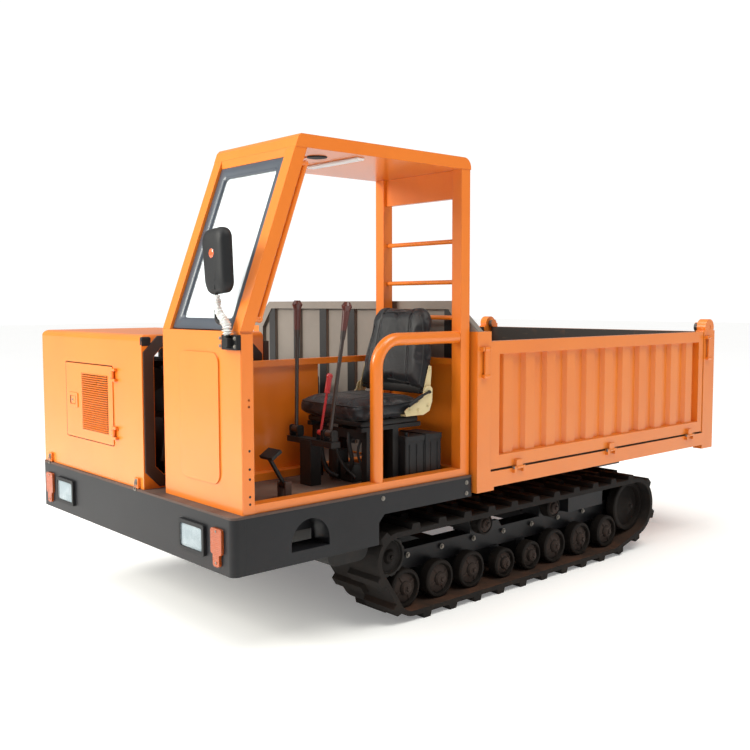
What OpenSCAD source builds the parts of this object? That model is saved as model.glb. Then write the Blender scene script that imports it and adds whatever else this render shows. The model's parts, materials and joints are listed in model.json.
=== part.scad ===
// Rubber-tracked power carrier with an open driver's cab and a tipping load box.
// +X is the machine's left, the front faces -Y, the ground is z = 0.

/* [Body] */
// Length from the bumper's front face to the rear face of the cab
cab_l = 1370; // [1300:10:1650]
// Width over the side skirts
body_w = 1850; // [1800:10:2200]
// Underside of the side skirts at the front
skirt_z = 412; // [380:2:440]
// Top of the deck that carries the cab and the hood
deck_z = 650; // [620:2:720]

/* [Cab] */
// Width over the cab's two side faces
cab_w = 607; // [560:1:730]
// Height of the cab from the deck to the roof's top
cab_h = 1520; // [1400:5:1830]
// Height of the pressed front panel
panel_h = 726; // [600:2:870]
// Side of a square pillar tube
pillar_w = 60; // [45:1:72]
// Diameter of the guard rail tube
guard_d = 58; // [34:1:60]
// Width of the seat
seat_w = 460; // [380:5:520]

/* [Engine hood] */
// Width of the hood
hood_w = 1106; // [920:2:1120]
// Depth of the hood from front to rear
hood_l = 655; // [600:5:700]
// Height of the hood above the deck
hood_h = 697; // [660:2:840]
// Width of the hood's front door
door_w = 524; // [430:2:620]
// Number of louvres in the hood's door
louvre_n = 26; // [12:1:30]

/* [Load box] */
// Length of the load box from headboard to rear posts
box_l = 2256; // [1900:4:2700]
// Width of the load box over its posts
box_w = 1896; // [1880:2:2200]
// Height of the side gates
gate_h = 632; // [500:2:750]
// Number of pressed ribs on a side gate
rib_n = 11; // [7:1:13]
// Height of the headboard above the side gates' top
headboard_rise = 198; // [120:2:260]

/* [Tracks] */
// Width of a rubber belt
belt_w = 390; // [330:5:400]
// Distance from the sprocket's axle to the idler's axle
track_base = 1954; // [1840:2:2100]
// Pitch of the belt's drive links
belt_pitch = 90; // [80:1:110]
// Height of a tread lug
lug_h = 26; // [18:1:32]
// Radius of the large road rollers
roller_r = 93; // [85:1:96]
// Radius of an axle
axle_r = 18; // [14:1:24]

/* [Hidden] */
$fn = 48;

// Colours
orange = "#e8791f";
dark_steel = "#3a3a3e";
black = "#1d1d1f";
rubber = "#2b2a29";
rust = "#6a4a38";
drab = "#8b8078";

// Clearances
run_gap = 0.05;   // radial, an axle in its bore
side_gap = 4;     // beside a moving part
panel_gap = 3;    // around a door in its opening
rest_gap = 5;     // under a part that comes down on another
weld_gap = 0.3;   // between members of one welded frame

// Length of the whole machine, and the stations along it
cab_box_gap = 14;
total_l = cab_l + cab_box_gap + box_l;
front_y = -total_l / 2;
cab_rear_y = front_y + cab_l;
box_front_y = cab_rear_y + cab_box_gap;
box_rear_y = box_front_y + box_l;
lamp_proud = 13;  // how far the lamps stand out of the bumper

// Heights
deck_t = 10;
deck_bottom = deck_z - deck_t;
roof_z = deck_z + cab_h;
waist_z = deck_z + panel_h;

// ---------- shared shapes ----------

// Box between two corners
module block(lo, hi) {
    translate(lo) cube(hi - lo);
}

// The children and their mirror image across the machine's centre plane
module both() {
    children();
    mirror([1, 0, 0]) children();
}

// Cylinder along X from x0 to x1 at a point of the YZ plane
module rod_x(y, z, r, x0, x1) {
    translate([x0, y, z]) rotate([0, 90, 0]) cylinder(r = r, h = x1 - x0);
}

// Cylinder along Y from y0 to y1 at a point of the XZ plane
module rod_y(x, z, r, y0, y1) {
    translate([x, y0, z]) rotate([-90, 0, 0]) cylinder(r = r, h = y1 - y0);
}

// Cylinder along Z from z0 to z1 at a point of the XY plane
module rod_z(x, y, r, z0, z1) {
    translate([x, y, z0]) cylinder(r = r, h = z1 - z0);
}

// Cylinder between two points of one YZ plane
module rod_yz(x, p, q, r) {
    d = q - p;
    translate([x, p.x, p.y]) rotate([atan2(-d.x, d.y), 0, 0]) cylinder(r = r, h = norm(d));
}

// Outline drawn in (y, z), extruded along X from x0 to x1
module slab_x(x0, x1) {
    translate([x0, 0, 0]) rotate([90, 0, 90]) linear_extrude(x1 - x0) children();
}

// Outline drawn in (x, z), extruded along Y from y0 to y1
module slab_y(y0, y1) {
    translate([0, y1, 0]) rotate([90, 0, 0]) linear_extrude(y1 - y0) children();
}

// Rectangle between two corners with true arcs at its four corners
module round_rect(lo, hi, r) {
    translate([lo.x + r, lo.y]) square([hi.x - lo.x - 2 * r, hi.y - lo.y]);
    translate([lo.x, lo.y + r]) square([hi.x - lo.x, hi.y - lo.y - 2 * r]);
    for (x = [lo.x + r, hi.x - r], y = [lo.y + r, hi.y - r]) {
        translate([x, y]) circle(r);
    }
}

// Rectangle between two corners with arcs at its two upper corners only
module round_top(lo, hi, r) {
    round_rect(lo, hi, r);
    translate(lo) square([hi.x - lo.x, r]);
}

// ---------- tracks ----------

track_x = 701;          // centre plane of a track
carcass_t = 24;
belt_z = lug_h + carcass_t;                 // inner face of the ground run
top_run_z = 414;                            // inner face of the top run
sprocket_r = 100;
idler_r = 150;
carrier_r = 55;
small_r = 78;                               // the two middle rollers
sprocket_c = [front_y + 908, top_run_z - sprocket_r];
idler_c = [sprocket_c.x + track_base, top_run_z - idler_r];
roller_n = 8;
first_roller_y = sprocket_c.x + 105;
roller_span = track_base - 324;
// Share of the rollers' span at which each stands
roller_share = [0, 0.142, 0.283, 0.44, 0.573, 0.698, 0.843, 1];
carrier_share = [0.345, 0.69];
wheel_half = 139;       // half the width over a wheel's two discs
disc_t = 58;
hanger_half = 60;       // half the width of a roller's hanger
wheel_grip = 0.5;       // gap between wheels and belt
rail_lo = 202;
rail_hi = 300;
rail_half = 50;

function roller_y(i) = first_roller_y + roller_share[i] * roller_span;
function road_r(i) = (i == 3 || i == 4) ? small_r : roller_r;
function carrier_y(i) = first_roller_y + carrier_share[i] * roller_span;

// Circles that the belt's inner face wraps, anticlockwise in (y, z): [centre, radius]
loop = [
    [[roller_y(0), belt_z + roller_r], roller_r],
    [[roller_y(roller_n - 1), belt_z + roller_r], roller_r],
    [idler_c, idler_r],
    [sprocket_c, sprocket_r]
];
loop_n = len(loop);

function heading(v) = atan2(v.y, v.x);
function turn(a) = (a % 360 + 360) % 360;
function unit(a) = [cos(a), sin(a)];

// Direction of the outward normal on the straight run after circle i
function run_normal(i) =
    let (a = loop[i], b = loop[(i + 1) % loop_n], d = b[0] - a[0])
    heading(d) - 90 + asin((a[1] - b[1]) / norm(d));
function run_length(i) =
    let (a = loop[i], b = loop[(i + 1) % loop_n])
    sqrt(pow(norm(b[0] - a[0]), 2) - pow(a[1] - b[1], 2));
function wrap_angle(i) = turn(run_normal(i) - run_normal((i + loop_n - 1) % loop_n));
function wrap_length(i) = wrap_angle(i) * PI / 180 * loop[i][1];
// Path lengths: wrap of circle i, then the run after it
function path_before(i) = i == 0 ? 0 : path_before(i - 1) + wrap_length(i - 1) + run_length(i - 1);
path_total = path_before(loop_n - 1) + wrap_length(loop_n - 1) + run_length(loop_n - 1);
// Whole number of tread lugs, one to every second link
lug_n = round(path_total / belt_pitch / 2);

// Circle whose wrap or run holds distance s
function circle_at(s, i = 0) =
    (i == loop_n - 1 || s < path_before(i + 1)) ? i : circle_at(s, i + 1);
// Pose on the inner face at distance s: [point, normal angle]
function pose_at(s) =
    let (i = circle_at(s), t = s - path_before(i), w = wrap_length(i))
    let (start = run_normal((i + loop_n - 1) % loop_n), c = loop[i][0], r = loop[i][1])
    t < w
        ? let (a = start + t / r * 180 / PI) [c + r * unit(a), a]
        : let (a = run_normal(i)) [c + r * unit(a) + (t - w) * unit(a + 90), a];

// Filled outline of the belt loop, grown outward by a distance
module loop_outline(grow) {
    hull() {
        for (c = loop) {
            translate(c[0]) circle(c[1] + grow, $fn = 96);
        }
    }
}

// Side view of one row of tread lugs, starting at a distance along the path
module lug_row(start) {
    lug_bite = 3;
    foot = 60;
    crown = 44;
    for (k = [0 : lug_n - 1]) {
        p = pose_at(start + k * path_total / lug_n);
        translate(p[0]) rotate(p[1]) polygon([[carcass_t - lug_bite, -foot / 2],
            [carcass_t + lug_h, -crown / 2], [carcass_t + lug_h, crown / 2], [carcass_t - lug_bite, foot / 2]]);
    }
}

// Stretch of the belt across its width, with one or both rows of lugs
module belt_strip(x0, x1, starts) {
    slab_x(x0, x1) difference() {
        union() {
            loop_outline(carcass_t);
            for (start = starts) lug_row(start);
        }
        loop_outline(0);
    }
}

module belt() {
    lap = 20;             // how far each row of lugs crosses the middle
    outer = 0;
    inner = path_total / lug_n / 2;
    color(rubber) {
        belt_strip(-belt_w / 2, -lap, [inner]);
        belt_strip(-lap, lap, [outer, inner]);
        belt_strip(lap, belt_w / 2, [outer]);
    }
}

// Half of a wheel's section, from the shaft's middle out to its end: [radius, distance along X]
function wheel_section(r, dish) =
    let (inner = wheel_half - disc_t, run_r = r - wheel_grip, rim_r = run_r * 0.82)
    let (hub_r = axle_r + min(16, r / 6), web = wheel_half - dish)
    [[axle_r, inner], [run_r - 4, inner], [run_r, inner + 4], [run_r, wheel_half - 6],
        [run_r - 6, wheel_half], [rim_r, wheel_half], [rim_r - 5, web], [hub_r + 5, web],
        [hub_r, wheel_half - 4], [hub_r - 6, wheel_half], [axle_r, wheel_half],
        [axle_r, wheel_half + 4], [0, wheel_half + 4]];

// Wheel with two discs on one shaft, along X about the origin
module twin_wheel(r, dish) {
    half = wheel_section(r, dish);
    n = len(half);
    other = [for (k = [n - 1 : -1 : 0]) [half[k].x, -half[k].y]];
    rotate([0, 90, 0]) rotate_extrude() polygon(concat(half, other));
}

module road_roller(side, i) {
    color(rust) translate([side * track_x, roller_y(i), belt_z + road_r(i)]) {
        twin_wheel(road_r(i), 18);
    }
}

module carrier(side, i) {
    color(rust) translate([side * track_x, carrier_y(i), top_run_z - carrier_r]) {
        twin_wheel(carrier_r, 8);
    }
}

module idler(side) {
    hole_n = 6;
    color(rust) translate([side * track_x, idler_c.x, idler_c.y]) difference() {
        twin_wheel(idler_r, 26);
        for (k = [0 : hole_n - 1]) rotate([k * 360 / hole_n, 0, 0]) {
            rod_x(0, 88, 20, -wheel_half - 1, wheel_half + 1);
        }
    }
}

module sprocket(side) {
    tooth_n = 12;
    color(dark_steel) translate([side * track_x, sprocket_c.x, sprocket_c.y]) difference() {
        twin_wheel(sprocket_r, 12);
        for (k = [0 : tooth_n - 1]) rotate([k * 360 / tooth_n, 0, 0]) {
            rod_x(0, sprocket_r + 4, 15, -wheel_half - 1, wheel_half + 1);
        }
    }
}

// Lug that hangs an axle from the rail, with the rail's own width
module hanger(y, z, top) {
    boss = axle_r + 16;
    rod_x(y, z, boss, -hanger_half, hanger_half);
    block([-hanger_half, y - boss, min(z, top)], [hanger_half, y + boss, max(z, top)]);
}

// Track frame of the +X side: the rail with its hangers, and the members bolted to it
module track_frame() {
    arm_half = 38;
    bore_r = axle_r + run_gap;
    drive_r = 56;
    drive_end = sprocket_c.x + drive_r + 4;
    rail_end = idler_c.x - 110;
    fit_z = rail_hi + weld_gap;
    tensioner_y = [cross_y[1] + cross_half + side_gap, roller_y(roller_n - 1) + 2];
    guard_y = roller_y(3) - 8;
    color(dark_steel) translate([track_x, 0, 0]) difference() {
        union() {
            block([-rail_half, drive_end + weld_gap, rail_lo], [rail_half, rail_end, rail_hi]);
            for (i = [0 : roller_n - 1]) hanger(roller_y(i), belt_z + road_r(i), rail_lo + 4);
            // brackets of the carrier rollers
            for (i = [0, 1]) hanger(carrier_y(i), top_run_z - carrier_r, fit_z);
            // drive end
            rod_x(sprocket_c.x, sprocket_c.y, drive_r, -hanger_half, hanger_half);
            block([-rail_half, sprocket_c.x, rail_lo], [rail_half, drive_end, rail_hi]);
            // idler's sliding yoke
            block([-arm_half, rail_end + weld_gap, idler_c.y - arm_half], [arm_half, idler_c.x, idler_c.y + arm_half]);
            rod_x(idler_c.x, idler_c.y, arm_half, -hanger_half, hanger_half);
            // grease tensioner's housing on the rail
            block([-76, tensioner_y[0], fit_z], [100, tensioner_y[1], rail_hi + 81]);
            // triangular stone guard
            slab_x(rail_half + weld_gap, rail_half + 24) polygon([[guard_y - 58, rail_hi - 4],
                [guard_y + 58, rail_hi - 4], [guard_y + 20, rail_hi + 46], [guard_y - 20, rail_hi + 46]]);
        }
        for (i = [0 : roller_n - 1]) {
            rod_x(roller_y(i), belt_z + road_r(i), bore_r, -wheel_half, wheel_half);
        }
        for (i = [0, 1]) rod_x(carrier_y(i), top_run_z - carrier_r, bore_r, -wheel_half, wheel_half);
        rod_x(idler_c.x, idler_c.y, bore_r, -wheel_half, wheel_half);
        rod_x(sprocket_c.x, sprocket_c.y, bore_r, -wheel_half, wheel_half);
    }
}

// ---------- chassis ----------

rail_x = [300, 400];       // inner and outer face of a chassis beam
beam_lo = 400;
beam_hi = 540;
pivot = [box_rear_y - 216, 500];     // tipping axis, (y, z)
pivot_r = 25;
ear_gap = 5;
ear_t = 20;
cyl_base = [pivot.x - 1250, 430];
cyl_rod = [pivot.x - 350, 560];
cyl_pin_r = 20;
cyl_eye_half = 28;
cross_y = [first_roller_y + 0.213 * roller_span, first_roller_y + 0.77 * roller_span];
cross_half = 45;

eye_r = 21;                // bore of the towing eye

// Chassis beams, cross members and outriggers, each member a solid of its own
module chassis_frame() {
    deck_beam_y = [front_y + 90, front_y + 620, cab_rear_y - 90];
    deck_beam_half = 30;
    bracket = [cyl_eye_half + side_gap, cyl_eye_half + side_gap + 16];
    inner_x = rail_x[0] - weld_gap;
    cross_hi = beam_hi - 20;
    eye_y = [pivot.x - 160, pivot.x - 100];
    color(dark_steel) {
        both() {
            block([rail_x[0], front_y + lip_w + side_gap, beam_lo], [rail_x[1], pivot.x, beam_hi]);
            rod_x(pivot.x, pivot.y, beam_hi - pivot.y, rail_x[0], rail_x[1]);
            rod_x(pivot.x, pivot.y, pivot_r, rail_x[0] - ear_gap - ear_t - 4, rail_x[1] + ear_gap + ear_t + 4);
            for (y = cross_y) {
                block([rail_x[0], y - cross_half, rail_hi - 10 + weld_gap],
                    [rail_x[1], y + cross_half, beam_lo - weld_gap]);
            }
        }
        // carriers of the track frames
        for (y = cross_y) {
            block([rail_half - track_x, y - cross_half, rail_lo + 8], [track_x - rail_half, y + cross_half, rail_hi - 10]);
        }
        // outriggers under the deck
        for (y = deck_beam_y) {
            block([40 - side_x, y - deck_beam_half, beam_hi + weld_gap],
                [side_x - 40, y + deck_beam_half, deck_bottom]);
        }
        // cross beam with the lift cylinder's clevis
        block([-inner_x, cyl_base.x - 110, beam_lo], [inner_x, cyl_base.x - 50, cross_hi]);
        both() slab_x(bracket[0], bracket[1]) {
            polygon([[cyl_base.x - 52, beam_lo], [cyl_base.x + 10, beam_lo - 10],
                [cyl_base.x + 34, beam_lo + 14], [cyl_base.x + 34, beam_hi - 80], [cyl_base.x - 52, cross_hi]]);
        }
        rod_x(cyl_base.x, cyl_base.y, cyl_pin_r, -bracket[1] - 6, bracket[1] + 6);
        // rear cross beam with the towing eye
        difference() {
            block([-inner_x, eye_y[0], beam_lo], [inner_x, eye_y[1], cross_hi]);
            rod_y(0, (beam_lo + cross_hi) / 2, eye_r, eye_y[0] - 1, eye_y[1] + 1);
        }
    }
}

// ---------- bumper, deck ----------

skirt_t = 8;
lip_w = 52;              // lower lip of the front beam
side_x = body_w / 2;
step_y = front_y + 383.5;
step_r = 100;
step_back_z = 537;
step_low_z = 465;
skirt_break_y = front_y + 765;
skirt_rear_z = 546;

// Plan of the bumper and skirts, wall grown inward by t
module skirt_plan(inset) {
    corner_r = 30;
    r = corner_r - min(inset, corner_r - 4);
    translate([-side_x + inset, front_y + inset + r]) {
        square([body_w - 2 * inset, cab_l - inset - r + (inset > 0 ? 1 : 0)]);
    }
    translate([-side_x + inset + r, front_y + inset]) square([body_w - 2 * inset - 2 * r, r + 1]);
    for (m = [-1, 1]) translate([m * (side_x - inset - r), front_y + inset + r]) circle(r);
}

// Half-round doorway of the boarding step, in (y, z)
module step_arch(grow) {
    top = step_low_z + 28;
    translate([step_y, top]) intersection() {
        circle(step_r + grow);
        translate([-step_r - grow, 0]) square([2 * (step_r + grow), step_r + grow]);
    }
    translate([step_y - step_r - grow, step_low_z - grow]) {
        square([2 * (step_r + grow), top - step_low_z + grow]);
    }
}

module bumper_skirt() {
    pocket_d = 120;
    seam_y = 60;
    color(dark_steel) difference() {
        union() {
            translate([0, 0, skirt_z]) linear_extrude(deck_bottom - skirt_z) difference() {
                skirt_plan(0);
                skirt_plan(skirt_t);
            }
            // lower lip of the front beam
            translate([0, 0, skirt_z]) linear_extrude(skirt_t) intersection() {
                skirt_plan(0);
                translate([-side_x, front_y]) square([body_w, lip_w]);
            }
            both() slab_x(side_x - pocket_d, side_x - 1) step_arch(skirt_t);
        }
        // seams between the front beam and the two side skirts
        block([-side_x - 1, front_y + seam_y, skirt_z - 1], [side_x + 1, front_y + seam_y + weld_gap, deck_bottom + 1]);
        both() slab_x(side_x - pocket_d + skirt_t, side_x + 1) step_arch(0);
        both() block([side_x - pocket_d - 1, step_y - 88, step_low_z + 4],
            [side_x - pocket_d + skirt_t + 1, step_y + 88, step_back_z - 20]);
        both() slab_y(front_y - 1, front_y + skirt_t + 1) lamp_opening(panel_gap);
        both() slab_x(side_x - skirt_t - 1, side_x + 1) {
            polygon([[skirt_break_y, skirt_z - 1], [skirt_break_y, skirt_z + 100],
                [skirt_break_y + 34, skirt_rear_z], [cab_rear_y + 1, skirt_rear_z],
                [cab_rear_y + 1, skirt_z - 1]]);
        }
    }
}

bulkhead_y = front_y + 680;
bulkhead_t = 6;
hood_x0 = -side_x;
hood_x1 = hood_x0 + hood_w;
hood_y0 = front_y + 15;
hood_y1 = hood_y0 + hood_l;
hood_top = deck_z + hood_h;
hood_t = 5;
hood_r = 30;
hood_pivot = [bulkhead_y - 2, hood_top - 26];
hood_pin_r = 6;
hood_knuckle_x = [hood_x0 + 160, hood_x1 - 160];
knuckle_half = 30;

module deck_plate() {
    hoop_x = [hood_x0 + 30, hood_x1 - 30];
    color(drab) union() {
        translate([0, 0, deck_bottom]) linear_extrude(deck_t) intersection() {
            skirt_plan(0);
            translate([-side_x, front_y]) square([body_w, cab_l]);
        }
        // bulkhead behind the engine, with the hood's hinge lugs on its top edge
        block([hoop_x[0], bulkhead_y + 8, deck_z - 1],
            [hoop_x[1], bulkhead_y + 8 + bulkhead_t, hood_top - 48]);
        for (x = hoop_x) {
            block([x - 10, bulkhead_y + 8, deck_z - 1], [x + 10, bulkhead_y + 38, hood_top - 48]);
        }
        // bracket and pin of the brake pedal
        rod_x(pedal_c.y, pedal_c.z, pedal_pin_r, pedal_c.x - 30, pedal_c.x + 30);
        for (m = [-1, 1]) {
            block([pedal_c.x + m * 26 - 4, pedal_c.y - 16, deck_z - 1],
                [pedal_c.x + m * 26 + 4, pedal_c.y + 16, pedal_c.z + 14]);
        }
        for (x = hood_knuckle_x) {
            rod_x(hood_pivot.x, hood_pivot.y, hood_pin_r, x - knuckle_half - 20, x + knuckle_half + 20);
            for (m = [-1, 1]) {
                lug_x = x + m * (knuckle_half + 10);
                slab_x(lug_x - 6, lug_x + 6) polygon([[hood_pivot.x - 10, hood_pivot.y - 10],
                    [bulkhead_y + 12, hood_top - 90], [bulkhead_y + 14, hood_pivot.y + 8],
                    [hood_pivot.x - 10, hood_pivot.y + 10]]);
            }
        }
    }
}

// ---------- engine bay ----------

module engine() {
    x0 = hood_x0 + 110;
    x1 = hood_x1 - 40;
    y0 = hood_y0 + 150;
    y1 = bulkhead_y - 30;
    z0 = deck_z;
    mid = (y0 + y1) / 2;
    fan_r = 170;
    crank_x = [x0 + 100, x1 - 90];
    crank_rib_n = 6;
    crank_rib_pitch = (crank_x[1] - crank_x[0] - 216) / (crank_rib_n - 1);
    color(black) union() {
        // feet
        for (x = [x0 + 130, x1 - 170], y = [y0 + 40, y1 - 90]) block([x, y, z0], [x + 50, y + 50, z0 + 62]);
        // crankcase and head
        block([crank_x[0], y0 + 20, z0 + 60], [crank_x[1], y1 - 20, z0 + 300]);
        block([x0 + 150, mid - 110, z0 + 298], [x1 - 150, mid + 110, z0 + 470]);
        slab_y(mid - 90, mid + 90) {
            round_rect([x0 + 170, z0 + 460], [x1 - 170, z0 + 550], 24);
        }
        // flywheel housing and pulleys
        rod_x(mid, z0 + 190, 165, x1 - 92, x1 - 30);
        rod_x(mid, z0 + 190, 90, x1 - 32, x1);
        rod_x(mid, z0 + 400, fan_r, x0 + 60, x0 + 90);
        rod_x(mid, z0 + 400, 40, x0 + 60, x0 + 152);
        // air cleaner and silencer
        rod_x(y1 - 60, z0 + 520, 66, x1 - 330, x1 - 20);
        rod_x(y1 - 60, z0 + 520, 40, x1 - 332, x1 + 4);
        rod_z(x1 - 200, y1 - 60, 28, z0 + 298, z0 + 500);
        rod_x(y0 + 60, z0 + 470, 58, x0 + 210, x1 - 250);
        block([x0 + 300, y0 + 30, z0 + 298], [x0 + 380, y0 + 90, z0 + 440]);
        // ribs on the crankcase
        for (k = [0 : crank_rib_n - 1]) {
            x = crank_x[0] + 40 + k * crank_rib_pitch;
            block([x, y0 + 8, z0 + 90], [x + 12, y0 + 22, z0 + 280]);
        }
        // oil filter
        rod_y(x1 - 240, z0 + 150, 40, y0 - 60, y0 + 22);
    }
}

module tanks() {
    oil_x = [hood_x0 + 40, hood_x0 + 760];
    oil_y = [bulkhead_y + 60, cab_rear_y - 60];
    oil_h = 420;
    fuel_x = [420, side_x - 60];
    fuel_y = [front_y + 520, front_y + 750];
    fuel_z = [340, beam_hi - 4];
    color(black) {
        translate([0, 0, deck_z]) linear_extrude(oil_h) {
            round_rect([oil_x[0], oil_y[0]], [oil_x[1], oil_y[1]], 40);
        }
        rod_z(oil_x[0] + 120, oil_y[0] + 120, 46, deck_z + oil_h - 1, deck_z + oil_h + 40);
        rod_z(oil_x[1] - 150, oil_y[0] + 150, 60, deck_z + oil_h - 1, deck_z + oil_h + 24);
        slab_x(fuel_x[0], fuel_x[1]) round_rect([fuel_y[0], fuel_z[0]], [fuel_y[1], fuel_z[1]], 50);
    }
}

door_x1 = hood_x0 + 825;
door_x0 = door_x1 - door_w;
door_z = [deck_z + 165, deck_z + 543];
door_pin = [door_x1 + 12, hood_y0 - 9];
door_pin_r = 4;
door_knuckle_z = [door_z[0] + 50, door_z[1] - 55];
door_knuckle_h = 32;

// Solid of the hood, shrunk by a wall
module hood_form(inset) {
    intersection() {
        slab_y(hood_y0 + inset, hood_y1 + (inset > 0 ? 1 : 0)) {
            round_top([hood_x0 + inset, deck_z - (inset > 0 ? 1 : 0)],
                [hood_x1 - inset, hood_top - inset], hood_r - inset);
        }
        slab_x(hood_x0, hood_x1) difference() {
            translate([hood_y0 + inset, deck_z - 1]) {
                square([hood_l + 2, hood_h + 1 - inset]);
            }
            // rounded front upper edge
            translate([hood_y0 + inset, hood_top - hood_r]) difference() {
                translate([-1, 0]) square([hood_r - inset + 1, hood_r + 1]);
                translate([hood_r - inset, 0]) circle(hood_r - inset);
            }
        }
    }
}

module engine_hood() {
    border = 60;
    gusset = 70;
    side_y = [hood_y0 + border, hood_y1 - border];
    side_z = [deck_z + border, hood_top - border];
    color(orange) difference() {
        union() {
            difference() {
                hood_form(0);
                hood_form(hood_t);
            }
            // knuckles of the rear hinge, hung from the top sheet
            for (x = hood_knuckle_x) {
                rod_x(hood_pivot.x, hood_pivot.y, 14, x - knuckle_half, x + knuckle_half);
                block([x - knuckle_half, hood_pivot.x - 60, hood_pivot.y + 4],
                    [x + knuckle_half, hood_pivot.x, hood_top - hood_t + 1]);
            }
            // pins of the door's hinges
            for (z = door_knuckle_z) {
                rod_z(door_pin.x, door_pin.y, door_pin_r, z - 14, z + door_knuckle_h + 14);
                for (dz = [-14, door_knuckle_h + 2]) {
                    block([door_pin.x - 7, door_pin.y - 7, z + dz], [door_pin.x + 30, hood_y0 + 1, z + dz + 12]);
                }
            }
            // hold-down catches on the lower front edge
            for (x = [hood_x0 + 90, hood_x1 - 53]) {
                block([x - 18, hood_y0 - 12, deck_z + 2], [x + 18, hood_y0 + 1, deck_z + 48]);
            }
        }
        // opening of the door
        slab_y(hood_y0 - 1, hood_y0 + hood_t + 1) {
            round_rect([door_x0, door_z[0]], [door_x1, door_z[1]], 12);
        }
        // opening in the side that faces the cab, with one chamfered gusset corner
        slab_x(hood_x1 - hood_t - 1, hood_x1 + 1) {
            polygon([[side_y[0] + 40, side_z[0]], [side_y[1], side_z[0]],
                [side_y[1], side_z[1] - gusset], [side_y[1] - gusset, side_z[1]],
                [side_y[0] + 40, side_z[1]], [side_y[0], side_z[1] - 40], [side_y[0], side_z[0] + 40]]);
        }
        // bores of the rear hinge
        for (x = hood_knuckle_x) {
            rod_x(hood_pivot.x, hood_pivot.y, hood_pin_r + run_gap, x - knuckle_half - 1, x + knuckle_half + 1);
        }
    }
}

module hood_door() {
    t = 8;
    face_y = hood_y0 - 4;
    frame_lo = [door_x0 + panel_gap, door_z[0] + panel_gap];
    frame_hi = [door_x1 - panel_gap, door_z[1] - panel_gap];
    slat_x = [door_x0 + 186, door_x1 - 53];
    slat_z = [door_z[0] + 50, door_z[1] - 47];
    slat_pitch = (slat_z[1] - slat_z[0]) / louvre_n;
    latch_z = door_z[0] + 189;
    latch_x = door_x0 + 87;
    color(orange) difference() {
        union() {
            slab_y(face_y, face_y + t) round_rect(frame_lo, frame_hi, 10);
            for (k = [0 : louvre_n - 1]) {
                translate([slat_x[0], face_y + 2, slat_z[0] + (k + 1) * slat_pitch - 1]) {
                    rotate([28, 0, 0]) translate([0, -8, 0]) cube([slat_x[1] - slat_x[0], 10, 1.6]);
                }
            }
            // hinge barrels
            for (z = door_knuckle_z) {
                rod_z(door_pin.x, door_pin.y, 8, z, z + door_knuckle_h);
                block([frame_hi.x - 20, face_y - 3, z], [door_pin.x, face_y + 1, z + door_knuckle_h]);
            }
            // flush latch
            slab_y(face_y - 4, face_y + 1) round_rect([latch_x - 53, latch_z - 37], [latch_x + 53, latch_z + 37], 10);
        }
        for (k = [0 : louvre_n - 1]) {
            block([slat_x[0], face_y - 1, slat_z[0] + k * slat_pitch + 1],
                [slat_x[1], face_y + t + 1, slat_z[0] + (k + 1) * slat_pitch - 4]);
        }
        for (z = door_knuckle_z) {
            rod_z(door_pin.x, door_pin.y, door_pin_r + run_gap, z - 1, z + door_knuckle_h + 1);
        }
        slab_y(face_y - 5, face_y - 1) {
            round_rect([latch_x - 34, latch_z - 22], [latch_x + 34, latch_z + 22], 8);
        }
    }
}

// ---------- cab ----------

cab_x1 = side_x - 15;
cab_x0 = cab_x1 - cab_w;
cab_y0 = front_y + 56;
slope_run = 295;           // how far the screen leans back over its height
roof_t = 55;
roof_low = roof_z - roof_t;
sheet_t = 4;
rear_pillar_y = [cab_rear_y - 64, cab_rear_y - 4];
rail_top = deck_z + 565;   // waist rail
flange_l = 56;

// Y of the front face at a height above the waist
function screen_y(z) = cab_y0 + slope_run * (z - waist_z) / (roof_z - waist_z);

module front_pillar(x0) {
    slab_x(x0, x0 + pillar_w) polygon([[cab_y0, waist_z], [cab_y0 + pillar_w, waist_z],
        [screen_y(roof_low) + pillar_w, roof_low], [screen_y(roof_low), roof_low]]);
}

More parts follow.
